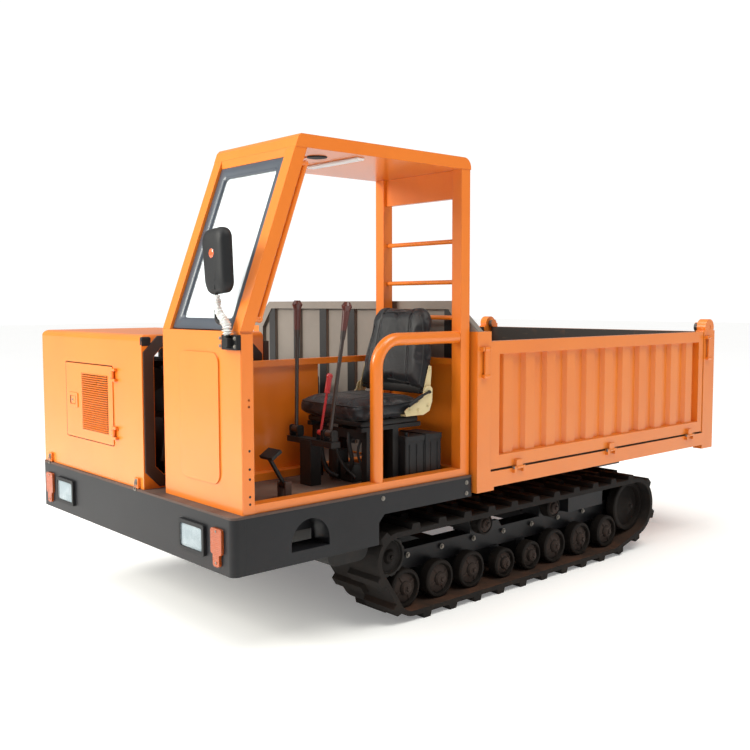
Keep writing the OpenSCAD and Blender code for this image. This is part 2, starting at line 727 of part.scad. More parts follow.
module cab_frame() {
    inner = [cab_x0 + pillar_w, cab_x1 - pillar_w];
    rung_r = 11;
    rung_y = rear_pillar_y[0] + 32;
    guard_r = guard_d / 2;
    bend_r = 127;
    guard_x = cab_x1 - pillar_w / 2;
    guard_y = cab_y0 + 735;
    guard_z = deck_z + 672;
    sill_h = 36;
    grab_lo = [screen_y(waist_z + 46) + pillar_w + 34, waist_z + 46];
    grab_hi = [screen_y(roof_low - 60) + pillar_w + 34, roof_low - 60];
    color(orange) union() {
        // sills
        for (x = [cab_x0, cab_x1 - pillar_w]) {
            block([x, cab_y0 + flange_l, deck_z], [x + pillar_w, rear_pillar_y[0], deck_z + sill_h]);
        }
        block([inner[0] - 1, rear_pillar_y[0], deck_z], [inner[1] + 1, rear_pillar_y[1], deck_z + sill_h]);
        // front uprights behind the pressed panel
        for (x = [cab_x0 + sheet_t, cab_x1 - pillar_w]) {
            block([x, cab_y0 + sheet_t, deck_z], [x + pillar_w - sheet_t, cab_y0 + pillar_w, waist_z - sheet_t]);
        }
        // windscreen pillars
        for (x = [cab_x0, cab_x1 - pillar_w]) {
            front_pillar(x);
            block([x + sheet_t, cab_y0 + sheet_t, waist_z - sheet_t - 1],
                [x + pillar_w - sheet_t, cab_y0 + pillar_w, waist_z + 1]);
        }
        // rear pillars
        for (x = [cab_x0, cab_x1 - pillar_w]) {
            block([x, rear_pillar_y[0], deck_z], [x + pillar_w, rear_pillar_y[1], roof_low]);
        }
        // header and rear head panel
        block([inner[0] - 1, screen_y(roof_low), roof_low - 34], [inner[1] + 1, screen_y(roof_low) + 50, roof_low]);
        block([inner[0] - 1, rung_y - 14, roof_low - 133], [inner[1] + 1, rung_y + 14, roof_low]);
        // waist rail and lower sheet on the hood's side
        block([cab_x0, cab_y0 + pillar_w - 1, rail_top - 30], [cab_x0 + 30, rear_pillar_y[0] + 1, rail_top]);
        block([cab_x0, cab_y0 + pillar_w - 1, deck_z + sill_h - 1],
            [cab_x0 + sheet_t, cab_y0 + 856, rail_top - 28]);
        // rear wall sheet and rail
        block([inner[0] - 1, rung_y + 14, deck_z + sill_h - 1], [inner[1] + 1, rung_y + 14 + sheet_t, rail_top - 1]);
        block([inner[0] - 1, rung_y - 12, rail_top - 30], [inner[1] + 1, rung_y + 18, rail_top]);
        // rungs
        for (z = [deck_z + 763, deck_z + 935, deck_z + 1130]) {
            if (z < roof_low - 150) rod_x(rung_y, z, rung_r, inner[0] - 1, inner[1] + 1);
        }
        // guard rail beside the seat
        rod_z(guard_x, guard_y, guard_r, deck_z + sill_h - 1, guard_z - bend_r);
        translate([guard_x, guard_y + bend_r, guard_z - bend_r]) rotate([0, -90, 0]) {
            rotate([0, 0, -90]) rotate_extrude(angle = 90) translate([bend_r, 0]) circle(guard_r);
        }
        rod_y(guard_x, guard_z, guard_r, guard_y + bend_r, rear_pillar_y[0] + 1);
        // grab bar behind the windscreen pillar
        rod_yz(guard_x, grab_lo, grab_hi, rung_r);
        for (p = [grab_lo, grab_hi]) {
            rod_y(guard_x, p.y, rung_r, screen_y(p.y) + pillar_w - 4, p.x);
            translate([guard_x, p.x, p.y]) sphere(rung_r + 3);
        }
    }
}

module cab_front_panel() {
    press_lo = [cab_x0 + 150, deck_z + 100];
    press_hi = [cab_x1 - 155, waist_z - 88];
    press_d = 6;
    color(orange) difference() {
        union() {
            slab_y(cab_y0, cab_y0 + sheet_t) round_top([cab_x0, deck_z], [cab_x1, waist_z], 10);
            block([cab_x0, cab_y0 + 1, deck_z], [cab_x0 + sheet_t, cab_y0 + flange_l, waist_z - 10]);
            block([cab_x1 - sheet_t + 4, cab_y0 + 1, deck_z], [cab_x1 + 4, cab_y0 + flange_l, waist_z - 10]);
            slab_y(cab_y0 - press_d, cab_y0 + 1) round_rect(press_lo, press_hi, 46);
        }
        slab_y(cab_y0 - press_d + sheet_t, cab_y0 + sheet_t + 1) {
            round_rect(press_lo + [sheet_t, sheet_t], press_hi - [sheet_t, sheet_t], 42);
        }
        for (z = [deck_z + 430, deck_z + 456]) rod_x(cab_y0 + 34, z, 5, cab_x1 - 4, cab_x1 + 8);
    }
}

module cab_roof() {
    overhang = 2;
    rear_r = 46;
    tray = 40;
    color(orange) difference() {
        slab_x(cab_x0 - overhang, cab_x1 + overhang) difference() {
            polygon([[screen_y(roof_low), roof_low], [screen_y(roof_z - 14), roof_z - 14],
                [screen_y(roof_z - 14) + 14, roof_z], [cab_rear_y, roof_z], [cab_rear_y, roof_low]]);
            translate([cab_rear_y - rear_r, roof_z - rear_r]) difference() {
                square(rear_r + 1);
                circle(rear_r);
            }
        }
        // hollow above the liner
        block([cab_x0 + tray, screen_y(roof_z) + tray, roof_low + 12],
            [cab_x1 - tray, cab_rear_y - tray - 20, roof_z - sheet_t]);
        // recess for the lamp
        block([cab_x0 + 180, screen_y(roof_z) + 120, roof_low - 1], [cab_x1 - 180, screen_y(roof_z) + 200, roof_low + 8]);
    }
}

module windscreen() {
    pane_t = 5;
    seat_y = 24;
    lo = waist_z + 2;
    hi = roof_low - 36;
    color("#a9c4d6", 0.4) slab_x(cab_x0 + pillar_w + 1, cab_x1 - pillar_w - 1) {
        polygon([[screen_y(lo) + seat_y, lo], [screen_y(lo) + seat_y + pane_t, lo],
            [screen_y(hi) + seat_y + pane_t, hi], [screen_y(hi) + seat_y, hi]]);
    }
}

mirror_c = [cab_x1 - 120, cab_y0 - 24, deck_z + 1002];
mirror_pin_r = 7;
mirror_size = [172, 54, 262];

module mirror_bracket() {
    clamp_x = [cab_x1 - 104, cab_x1 + 4];
    clamp_z = [waist_z - 72, waist_z - 13];
    arm_r = 9;
    bend_r = 22;
    arm_y = cab_y0 - 30;
    stem_x = clamp_x[0] + 60;
    arm_z = clamp_z[1] + 48;
    color(black) union() {
        block([clamp_x[0], cab_y0 - 20, clamp_z[0]], [clamp_x[1], cab_y0, clamp_z[1]]);
        block([stem_x - 20, cab_y0 - 44, clamp_z[0] + 14], [stem_x + 20, cab_y0 - 18, clamp_z[0] + 46]);
        rod_z(stem_x, arm_y, arm_r, clamp_z[0] + 8, arm_z - bend_r);
        translate([stem_x - bend_r, arm_y, arm_z - bend_r]) rotate([90, 0, 0]) {
            rotate_extrude(angle = 90) translate([bend_r, 0]) circle(arm_r);
        }
        rod_x(arm_y, arm_z, arm_r, mirror_c.x + bend_r, stem_x - bend_r);
        translate([mirror_c.x + bend_r, arm_y, arm_z + bend_r]) rotate([90, 180, 0]) {
            rotate_extrude(angle = 90) translate([bend_r, 0]) circle(arm_r);
        }
        rod_z(mirror_c.x, arm_y, arm_r, arm_z + bend_r, mirror_c.z - mirror_size.z / 2 - 4);
        rod_z(mirror_c.x, arm_y, mirror_pin_r, arm_z + bend_r, mirror_c.z - mirror_size.z / 2 + 60);
    }
}

module mirror_head() {
    half = mirror_size / 2;
    pin_y = cab_y0 - 30;
    color(black) difference() {
        // shell, stepped in towards its crown
        union() {
            for (k = [0 : 2]) {
                slab_y(mirror_c.y - half.y + 9 * k, mirror_c.y + half.y) {
                    round_rect([mirror_c.x - half.x + 18 - 9 * k, mirror_c.z - half.z + 18 - 9 * k],
                        [mirror_c.x + half.x - 18 + 9 * k, mirror_c.z + half.z - 18 + 9 * k], 26);
                }
            }
        }
        // face of the glass
        slab_y(mirror_c.y + half.y - 6, mirror_c.y + half.y + 1) {
            round_rect([mirror_c.x - half.x + 10, mirror_c.z - half.z + 10],
                [mirror_c.x + half.x - 10, mirror_c.z + half.z - 10], 22);
        }
        rod_z(mirror_c.x, pin_y, mirror_pin_r + run_gap, mirror_c.z - half.z - 30, mirror_c.z - half.z + 62);
    }
}

// ---------- seat and controls ----------

seat_x = (cab_x0 + cab_x1) / 2 - 6;
seat_y = [front_y + 732, front_y + 1185];
cushion_t = 110;
seat_top = deck_z + 405;
back_h = 400;
back_t = 88;
back_lean = 10;
recline = [seat_y[1] - 30, seat_top + 10];
slide_gap = 1;
console_y = front_y + 650;
lever_z = deck_z + 250;
lever_x = [seat_x - 125, seat_x + 125];
lever_pin_r = 8;
pedal_c = [seat_x + 150, front_y + 376, deck_z + 60];
pedal_pin_r = 8;
battery_lo = [cab_x1 - 238, cab_rear_y - 362];

module seat_stand() {
    post = 36;
    half = seat_w / 2 - 30;
    rail_end = seat_y[1] - 40;
    // rear posts stay clear of the battery and under the seat rails
    post_y = [seat_y[0] + 70, min(battery_lo.y - 8, rail_end) - post];
    rail_z = seat_top - cushion_t - 24;
    color(black) union() {
        for (x = [seat_x - half, seat_x + half - post], y = post_y) {
            block([x, y, deck_z], [x + post, y + post, rail_z - 18]);
        }
        // shelf and seat rails
        for (x = [seat_x - half, seat_x + half - post]) {
            block([x, post_y[0] - 30, rail_z - 20], [x + post, rail_end, rail_z]);
        }
        block([seat_x - half, post_y[0], rail_z - 60], [seat_x + half, post_y[0] + 8, rail_z - 18]);
        block([seat_x - half, post_y[1] + post - 8, rail_z - 60], [seat_x + half, post_y[1] + post, rail_z - 18]);
        // control console in front of the seat
        block([seat_x - 60, console_y - 30, deck_z], [seat_x + 20, console_y + 30, lever_z - 40]);
        block([lever_x[0] - 40, console_y - 26, lever_z - 60], [lever_x[1] + 40, console_y + 26, lever_z - 34]);
        for (x = lever_x) {
            rod_x(console_y, lever_z, lever_pin_r, x - 34, x + 34);
            for (m = [-1, 1]) {
                slab_x(x + m * 28 - 5, x + m * 28 + 5) round_rect([console_y - 18, lever_z - 36], [console_y + 18, lever_z + 18], 12);
            }
        }
        // dump lever's post, on the console's seat side
        rod_x(console_y, lever_z, 6, lever_x[1] - 88, lever_x[1] - 48);
        for (dx = [-88, -54]) {
            block([lever_x[1] + dx, console_y - 12, lever_z - 36], [lever_x[1] + dx + 6, console_y + 12, lever_z + 12]);
        }
    }
}

module seat_cushion() {
    rail_z = seat_top - cushion_t - 24;
    bolster = 34;
    half = seat_w / 2;
    color("#4a4a50") union() {
        // pan on the rails
        block([seat_x - half + 30, seat_y[0] + 40, rail_z + slide_gap], [seat_x + half - 30, seat_y[1] - 50, rail_z + 25]);
        slab_x(seat_x - half, seat_x + half) {
            round_rect([seat_y[0], seat_top - cushion_t], [seat_y[1] - 40, seat_top - 16], 40);
        }
        for (m = [-1, 1]) {
            rod_y(seat_x + m * (half - bolster), seat_top - bolster, bolster, seat_y[0] + 40, seat_y[1] - 60);
        }
        // recliner lugs with the backrest's pin
        for (m = [-1, 1]) {
            x = seat_x + m * (half + 14);
            slab_x(x - 5, x + 5) polygon([[recline.x - 60, seat_top - 70], [recline.x + 20, seat_top - 70],
                [recline.x + 24, recline.y + 24], [recline.x - 24, recline.y + 24]]);
            block([min(x, x - m * 18), recline.x - 60, seat_top - 72], [max(x, x - m * 18), recline.x - 44, seat_top - 40]);
        }
        rod_x(recline.x, recline.y, 9, seat_x - half - 24, seat_x + half + 24);
    }
}

module seat_back() {
    half = seat_w / 2 - 6;
    color("#4a4a50") difference() {
        translate([seat_x, recline.x, recline.y]) rotate([-back_lean, 0, 0]) union() {
            rod_x(0, 0, 20, -half + 20, half - 20);
            slab_x(-half, half) round_rect([-back_t / 2 + 22, 26], [back_t / 2 + 8, back_h], 32);
            for (m = [-1, 1]) {
                rod_z(m * (half - 34), -12, 34, 60, back_h - 60);
                block([m * (half - 60) - 14, -14, 0], [m * (half - 60) + 14, 14, 60]);
            }
        }
        rod_x(recline.x, recline.y, 9 + run_gap, seat_x - half - 1, seat_x + half + 1);
    }
}

module battery() {
    lo = battery_lo;
    size = [170, 237, 212];
    color(black) union() {
        translate([0, 0, deck_z]) linear_extrude(size.z - 20) {
            round_rect([lo.x, lo.y], [lo.x + size.x, lo.y + size.y], 8);
        }
        translate([0, 0, deck_z + size.z - 24]) linear_extrude(24) {
            round_rect([lo.x - 4, lo.y - 4], [lo.x + size.x + 4, lo.y + size.y + 4], 10);
        }
        for (x = [lo.x + 30, lo.x + size.x - 30]) rod_z(x, lo.y + 30, 9, deck_z + size.z - 1, deck_z + size.z + 16);
    }
}

// Long lever with a flared knob, standing in a fork at height lever_z
module travel_lever(x, lean) {
    reach = deck_z + 848 - lever_z;
    color("#5a3430") translate([x, console_y, lever_z]) difference() {
        union() {
            rod_x(0, 0, 17, -20, 20);
            rotate([-lean, 0, 0]) {
                rod_z(0, 0, 9, 0, reach - 40);
                translate([0, 0, reach - 170]) cylinder(r1 = 11, r2 = 17, h = 130);
                translate([0, 0, reach - 40]) cylinder(r1 = 17, r2 = 25, h = 22);
                translate([0, 0, reach - 18]) cylinder(r1 = 25, r2 = 14, h = 18);
            }
        }
        rod_x(0, 0, lever_pin_r + run_gap, -21, 21);
    }
}

module dump_lever() {
    x = lever_x[1] - 68;
    color("#b03028") translate([x, console_y, lever_z]) difference() {
        union() {
            rod_x(0, 0, 12, -12, 12);
            rotate([-12, 0, 0]) {
                rod_z(0, 0, 6, 0, 190);
                rod_z(0, 0, 13, 180, 262);
                translate([0, 0, 258]) sphere(15);
            }
        }
        rod_x(0, 0, 6 + run_gap, -13, 13);
    }
}

module brake_pedal() {
    arm_l = 150;
    color(black) {
        translate(pedal_c) difference() {
            union() {
                rod_x(0, 0, 16, -18, 18);
                rotate([32, 0, 0]) {
                    block([-9, -6, 0], [9, 6, arm_l]);
                    block([-45, -14, arm_l - 2], [45, 44, arm_l + 12]);
                }
            }
            rod_x(0, 0, pedal_pin_r + run_gap, -19, 19);
        }
    }
}

// ---------- lamps ----------

lamp_x = 626;
lamp_half = 101;
lamp_z = [skirt_z + 48, skirt_z + 178];
lamp_rim = 12;          // bezel around the lamp's opening in the bumper
lamp_d = 56;            // depth of the housing behind the bumper's face
signal_x = 819;
signal_half = 40;
signal_z = [skirt_z + 78, skirt_z + 183];

// Face of the housing behind the bezel, grown by a clearance
module lamp_opening(grow) {
    round_rect([lamp_x - lamp_half + lamp_rim - grow, lamp_z[0] + lamp_rim - grow],
        [lamp_x + lamp_half - lamp_rim + grow, lamp_z[1] - lamp_rim + grow], 10);
}

module headlamps() {
    wall = 4;
    color(black) both() difference() {
        union() {
            slab_y(front_y - lamp_proud, front_y) {
                round_rect([lamp_x - lamp_half, lamp_z[0]], [lamp_x + lamp_half, lamp_z[1]], 12);
            }
            slab_y(front_y - 1, front_y + lamp_d) lamp_opening(0);
        }
        slab_y(front_y - lamp_proud - 1, front_y + lamp_d - wall) lamp_opening(-wall);
    }
}

module signal_lamps() {
    tail_drop = 50;
    color("#d07018") both() slab_y(front_y - lamp_proud + 1, front_y) {
        round_rect([signal_x - signal_half, signal_z[0]], [signal_x + signal_half, signal_z[1]], 12);
        round_rect([signal_x - 24, signal_z[0] - tail_drop], [signal_x + 22, signal_z[0] + 20], 12);
    }
}

// ---------- load box ----------

half_box = box_w / 2;
post_t = 60;                         // depth of posts and side beams across the machine
front_post_y = [box_front_y, box_front_y + 100];
rear_post_y = [box_rear_y - 127, box_rear_y];
post_hi = deck_z + 15 + gate_h + 49;
bed_z = 655;
bed_t = 8;
board_t = 42;                        // depth of the headboard's border tube
ledge_z = bed_z + bed_t - 3;         // the headboard's foot, below the floor's top
beam_z = [577, bed_z];
gate_y = [front_post_y[1] + side_gap, rear_post_y[0] - side_gap];
gate_z = [bed_z + 10, bed_z + 10 + gate_h];
gate_t = 46;
gate_x = half_box - 4;               // outer face of a closed side gate
hinge = [half_box + 10, bed_z + 2];  // side gate's axis, (x, z)
hinge_pin_r = 5;
hinge_r = 9;
hinge_share = [0.1, 0.5, 0.92];
tail_pivot = [rear_post_y[0] + 64, gate_z[1] + 28];
tail_pin_r = 15;
tail_y = [rear_post_y[0] + 70, rear_post_y[0] + 112];
tail_half = half_box - post_t - side_gap;

function hinge_y(k) = gate_y[0] + hinge_share[k] * (gate_y[1] - gate_y[0]);

// Post outlines in (y, z)
module front_post_shape() {
    polygon([[front_post_y[0], beam_z[0] - 17], [front_post_y[1] + 24, beam_z[0] - 17],
        [front_post_y[1] + 24, gate_z[0] - 12], [front_post_y[1], gate_z[0] - 12], [front_post_y[1], post_hi],
        [front_post_y[0], post_hi]]);
}

module rear_post_shape() {
    ear_r = 52;
    translate([rear_post_y[0], beam_z[0] - 25]) {
        square([rear_post_y[1] - rear_post_y[0], tail_pivot.y - beam_z[0] + 25 - 20]);
    }
    translate([tail_pivot.x, tail_pivot.y]) circle(ear_r);
}

module dump_bed() {
    sub_rail_y = [box_front_y + 10, pivot.x - 60];
    cross_n = 5;
    ear_x = [rail_x[0] - ear_gap - ear_t, rail_x[1] + ear_gap];
    clevis = [cyl_eye_half + side_gap, cyl_eye_half + side_gap + 14];
    color(orange) difference() {
        union() {
            block([-half_box + post_t - 1, box_front_y + board_t, bed_z],
                [half_box - post_t + 1, rear_post_y[0] + 62, bed_z + bed_t]);
            block([-half_box + post_t - 1, box_front_y, bed_z], [half_box - post_t + 1, box_front_y + board_t + 1, ledge_z]);
            both() {
                block([half_box - post_t, front_post_y[1] - 1, beam_z[0]], [half_box, rear_post_y[0] + 1, beam_z[1]]);
                slab_x(half_box - post_t, half_box) front_post_shape();
                slab_x(half_box - post_t, half_box) rear_post_shape();
                block([rail_x[0], sub_rail_y[0], beam_hi + rest_gap], [rail_x[1] - 20, sub_rail_y[1], bed_z + 1]);
                // pivot ears
                for (x = ear_x) slab_x(x, x + ear_t) {
                    translate(pivot) circle(42);
                    translate([pivot.x - 42, pivot.y]) square([84, bed_z - pivot.y + 1]);
                }
                // hinge lugs of the side gate
                for (k = [0 : 2], m = [-1, 1]) {
                    y = hinge_y(k) + m * 34;
                    block([half_box - 1, y - 8, bed_z - 24], [hinge.x + hinge_r - 2, y + 8, bed_z + 9]);
                }
                for (k = [0 : 2]) rod_y(hinge.x, hinge.y, hinge_pin_r, hinge_y(k) - 40, hinge_y(k) + 40);
                // lugs and pins of the two latches
                for (y = latch_y) {
                    rod_y(latch.x, latch.y, latch_pin_r, y - 30, y + 30);
                    for (m = [-1, 1]) {
                        block([half_box - 1, y + m * 25 - 6, latch.y - 10],
                            [latch.x + 8, y + m * 25 + 6, latch.y + 10]);
                    }
                }
            }
            // cross members
            for (k = [0 : cross_n - 1]) {
                y = box_front_y + 60 + k * (pivot.x - 640 - box_front_y) / (cross_n - 1);
                block([-half_box + post_t - 1, y - 25, bed_z - 42], [half_box - post_t + 1, y + 25, bed_z + 1]);
            }
            block([-half_box + post_t - 1, rear_post_y[0] + 2, beam_z[0] - 10],
                [half_box - post_t + 1, rear_post_y[0] + 62, bed_z + 1]);
            // clevis for the lift rod
            both() slab_x(clevis[0], clevis[1]) {
                polygon([[cyl_rod.x - 60, bed_z + 1], [cyl_rod.x - 34, cyl_rod.y - 20],
                    [cyl_rod.x - 14, cyl_rod.y - 36], [cyl_rod.x + 14, cyl_rod.y - 36],
                    [cyl_rod.x + 34, cyl_rod.y - 20], [cyl_rod.x + 60, bed_z + 1]]);
            }
        }
        both() for (x = ear_x) rod_x(pivot.x, pivot.y, pivot_r + run_gap, x - 1, x + ear_t + 1);
        both() rod_x(tail_pivot.x, tail_pivot.y, tail_pin_r + run_gap, half_box - post_t - 1, half_box + 1);
    }
}

module headboard() {
    top_z = gate_z[1] + headboard_rise;
    top_half = half_box - 173;
    post_half = half_box - post_t;
    plate_y = box_front_y + 22;
    rib_w = 60;
    rib_gap = 250;
    rib_count = floor((2 * post_half - 200) / rib_gap);
    outline = [[-post_half, ledge_z], [post_half, ledge_z], [post_half, post_hi],
        [half_box, post_hi], [top_half, top_z], [-top_half, top_z], [-half_box, post_hi], [-post_half, post_hi]];
    color(drab) union() {
        slab_y(plate_y, plate_y + 5) polygon(outline);
        // border tube
        slab_y(box_front_y, box_front_y + board_t) difference() {
            polygon(outline);
            polygon([[-post_half + board_t, ledge_z + board_t], [post_half - board_t, ledge_z + board_t],
                [post_half - board_t, post_hi - 6], [top_half - 22, top_z - board_t],
                [-top_half + 22, top_z - board_t], [-post_half + board_t, post_hi - 6]]);
        }
        // pressed channels
        for (k = [0 : rib_count]) {
            x = (k - rib_count / 2) * rib_gap;
            block([x - rib_w / 2, box_front_y + 4, ledge_z + board_t - 1], [x + rib_w / 2, plate_y + 1, top_z - board_t + 1]);
        }
    }
}

// Side gate on the +X side
module side_gate() {
    inner_x = gate_x - gate_t;
    rail_w = 66;
    stile_w = 62;
    panel_y = [gate_y[0] + stile_w, gate_y[1] - stile_w + 10];
    panel_z = [gate_z[0] + rail_w, gate_z[1] - rail_w + 2];
    pitch = (panel_y[1] - panel_y[0]) / rib_n;
    rib_d = 24;
    rib_flat = 0.42;
    difference() {
        union() {
            block([inner_x, gate_y[0], gate_z[0]], [gate_x, gate_y[1], panel_z[0]]);
            block([inner_x, gate_y[0], panel_z[1]], [gate_x, gate_y[1], gate_z[1]]);
            block([inner_x, gate_y[0], gate_z[0]], [gate_x, panel_y[0], gate_z[1]]);
            block([inner_x, panel_y[1], gate_z[0]], [gate_x, gate_y[1], gate_z[1]]);
            block([inner_x, panel_y[0] - 1, panel_z[0] - 1], [inner_x + 6, panel_y[1] + 1, panel_z[1] + 1]);
            // pressed ribs
            translate([inner_x + 5, 0, panel_z[0] - 1]) linear_extrude(panel_z[1] - panel_z[0] + 2) {
                for (k = [0 : rib_n - 1]) {
                    y = panel_y[0] + (k + 0.5) * pitch;
                    w = pitch * rib_flat / 2;
                    polygon([[0, y - w - rib_d * 0.6], [rib_d, y - w], [rib_d, y + w], [0, y + w + rib_d * 0.6]]);
                }
            }
            // hinge barrels
            for (k = [0 : 2]) {
                rod_y(hinge.x, hinge.y, hinge_r, hinge_y(k) - 24, hinge_y(k) + 24);
                block([gate_x - 8, hinge_y(k) - 24, hinge.y + 2], [hinge.x + 4, hinge_y(k) + 24, gate_z[0] + 30]);
            }
        }
        for (k = [0 : 2]) rod_y(hinge.x, hinge.y, hinge_pin_r + run_gap, hinge_y(k) - 25, hinge_y(k) + 25);
    }
}

module tailgate() {
    frame_w = 60;
    low_z = bed_z + bed_t + 4;
    rib_count = 6;
    pitch = 2 * tail_half / rib_count;
    arm_x = [tail_half - 30, tail_half];
    color(orange) union() {
        block([-tail_half, tail_y[0], low_z], [tail_half, tail_y[0] + 6, gate_z[1]]);
        for (z = [low_z, gate_z[1] - frame_w]) {
            block([-tail_half, tail_y[0] + 4, z], [tail_half, tail_y[1], z + frame_w]);
        }
        for (m = [-1, 1]) {
            block([m > 0 ? tail_half - frame_w : -tail_half, tail_y[0] + 4, low_z],
                [m > 0 ? tail_half : -tail_half + frame_w, tail_y[1], gate_z[1]]);
        }
        for (k = [1 : rib_count - 1]) {
            x = -tail_half + k * pitch;
            block([x - 24, tail_y[0] + 4, low_z + 10], [x + 24, tail_y[1] - 8, gate_z[1] - 10]);
        }
        both() {
            slab_x(arm_x[0], arm_x[1]) {
                translate([tail_pivot.x, tail_pivot.y]) circle(30);
                translate([tail_pivot.x + 6, gate_z[1] - 30]) square([24 + 12, tail_pivot.y - gate_z[1] + 30]);
            }
            rod_x(tail_pivot.x, tail_pivot.y, tail_pin_r, arm_x[1] - 1, half_box - 2);
            // lower hooks, the rearmost point of the machine
            block([tail_half - 160, tail_y[1] - 1, low_z + 8], [tail_half - 110, box_rear_y + lamp_proud, low_z + 50]);
        }
    }
}

latch = [half_box + 12, gate_z[1] - 35];
latch_y = [front_post_y[0] + 50, rear_post_y[0] + 40];
latch_pin_r = 5;

// Two drop handles, one on each post of the +X side
module gate_latches() {
    reach = 132;
    for (y = latch_y) difference() {
        union() {
            rod_y(latch.x, latch.y, 11, y - 16, y + 16);
            block([latch.x - 5, y - 13, latch.y - reach], [latch.x + 5, y + 13, latch.y]);
            rod_y(latch.x, latch.y - reach, 10, y - 20, y + 20);
        }
        rod_y(latch.x, latch.y, latch_pin_r + run_gap, y - 17, y + 17);
    }
}

// ---------- lift cylinder ----------

lift_dir = cyl_rod - cyl_base;
lift_l = norm(lift_dir);
lift_a = atan2(lift_dir.y, lift_dir.x);
barrel_l = lift_l - 250;
barrel_r = 46;
piston_r = 24;

module lift_cylinder() {
    color(dark_steel) translate([0, cyl_base.x, cyl_base.y]) rotate([lift_a, 0, 0]) difference() {
        union() {
            rod_x(0, 0, 36, -cyl_eye_half, cyl_eye_half);
            rod_y(0, 0, cyl_eye_half - 4, 20, 62);
            rod_y(0, 0, barrel_r, 58, barrel_l);
            rod_y(0, 0, barrel_r + 8, barrel_l - 50, barrel_l);
            rod_z(0, barrel_l - 90, 14, barrel_r - 8, barrel_r + 14);
        }
        rod_x(0, 0, cyl_pin_r + run_gap, -cyl_eye_half - 1, cyl_eye_half + 1);
        rod_y(0, 0, piston_r + run_gap, 66, barrel_l + 1);
    }
}

module lift_rod() {
    color("#c8ccd0") translate([0, cyl_base.x, cyl_base.y]) rotate([lift_a, 0, 0]) difference() {
        union() {
            rod_y(0, 0, piston_r, 70, lift_l - 24);
            rod_x(lift_l, 0, 32, -cyl_eye_half, cyl_eye_half);
        }
        rod_x(lift_l, 0, cyl_pin_r + run_gap, -cyl_eye_half - 1, cyl_eye_half + 1);
    }
}

// ---------- nodes ----------

chassis_frame();
track_frame();  // track_frame_left
mirror([1, 0, 0]) track_frame();  // track_frame_right
translate([track_x, 0, 0]) belt();  // belt_left
mirror([1, 0, 0]) translate([track_x, 0, 0]) belt();  // belt_right
sprocket(1);  // sprocket_left
sprocket(-1);  // sprocket_right
idler(1);  // idler_left
idler(-1);  // idler_right
for (i = [0 : roller_n - 1]) {
    road_roller(1, i);
    road_roller(-1, i);
}
for (i = [0, 1]) {
    carrier(1, i);
    carrier(-1, i);
}
bumper_skirt();
deck_plate();
engine();
tanks();
engine_hood();
hood_door();
cab_frame();
cab_front_panel();
cab_roof();
windscreen();
mirror_bracket();
mirror_head();
seat_stand();
seat_cushion();
seat_back();
battery();
travel_lever(lever_x[1], 10);  // travel_lever_left
travel_lever(lever_x[0], 1);  // travel_lever_right
dump_lever();
brake_pedal();
headlamps();
signal_lamps();
dump_bed();
headboard();
color(orange) side_gate();  // side_gate_left
color(orange) mirror([1, 0, 0]) side_gate();  // side_gate_right
tailgate();
lift_cylinder();
lift_rod();
color(dark_steel) gate_latches();  // gate_latches_left
color(dark_steel) mirror([1, 0, 0]) gate_latches();  // gate_latches_right
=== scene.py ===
"""Tracked power carrier: paint, rubber, glass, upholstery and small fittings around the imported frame.

Lengths are in metres in the frame's own axes: +X is the machine's left, the front faces -Y, +Z is up.
"""
import json
import logging
import math
from dataclasses import dataclass, field
from enum import Enum
from typing import Callable, Optional, Sequence

import bmesh
import bpy
from mathutils import Matrix, Vector, noise
from mathutils.bvhtree import BVHTree

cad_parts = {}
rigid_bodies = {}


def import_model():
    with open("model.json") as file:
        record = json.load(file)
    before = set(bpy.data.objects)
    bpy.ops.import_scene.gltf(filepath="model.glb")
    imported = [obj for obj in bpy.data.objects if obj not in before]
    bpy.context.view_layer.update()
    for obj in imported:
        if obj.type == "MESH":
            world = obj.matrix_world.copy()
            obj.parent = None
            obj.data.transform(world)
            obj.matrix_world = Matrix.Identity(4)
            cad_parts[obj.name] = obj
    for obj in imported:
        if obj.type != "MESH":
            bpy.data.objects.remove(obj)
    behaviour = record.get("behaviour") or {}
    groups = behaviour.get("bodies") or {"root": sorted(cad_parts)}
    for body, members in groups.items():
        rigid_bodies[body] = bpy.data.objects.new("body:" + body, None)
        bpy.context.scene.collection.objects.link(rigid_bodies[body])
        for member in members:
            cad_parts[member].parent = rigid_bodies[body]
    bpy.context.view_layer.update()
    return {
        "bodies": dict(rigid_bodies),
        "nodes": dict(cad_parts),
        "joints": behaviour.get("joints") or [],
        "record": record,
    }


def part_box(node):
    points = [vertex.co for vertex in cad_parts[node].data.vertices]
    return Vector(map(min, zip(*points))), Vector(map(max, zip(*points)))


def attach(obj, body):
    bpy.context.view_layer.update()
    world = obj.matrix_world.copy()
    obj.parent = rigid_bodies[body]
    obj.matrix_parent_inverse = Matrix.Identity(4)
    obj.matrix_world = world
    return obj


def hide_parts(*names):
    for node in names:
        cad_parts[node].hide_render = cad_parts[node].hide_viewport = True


log = logging.getLogger("carrier")
TAU = 2 * math.pi
FORWARD = Vector((0, -1, 0))
DOWN = Vector((0, 0, -1))
Placer = Callable[[float, float, float], Vector]


class Side(Enum):
    """The two sides of the machine, with the sign of X on each."""

    LEFT = 1
    RIGHT = -1

    @property
    def word(self) -> str:
        """Name of the side as the frame's nodes write it."""
        return self.name.lower()

    @property
    def outward(self) -> Vector:
        """Direction from the machine's middle to this side."""
        return Vector((self.value, 0, 0))


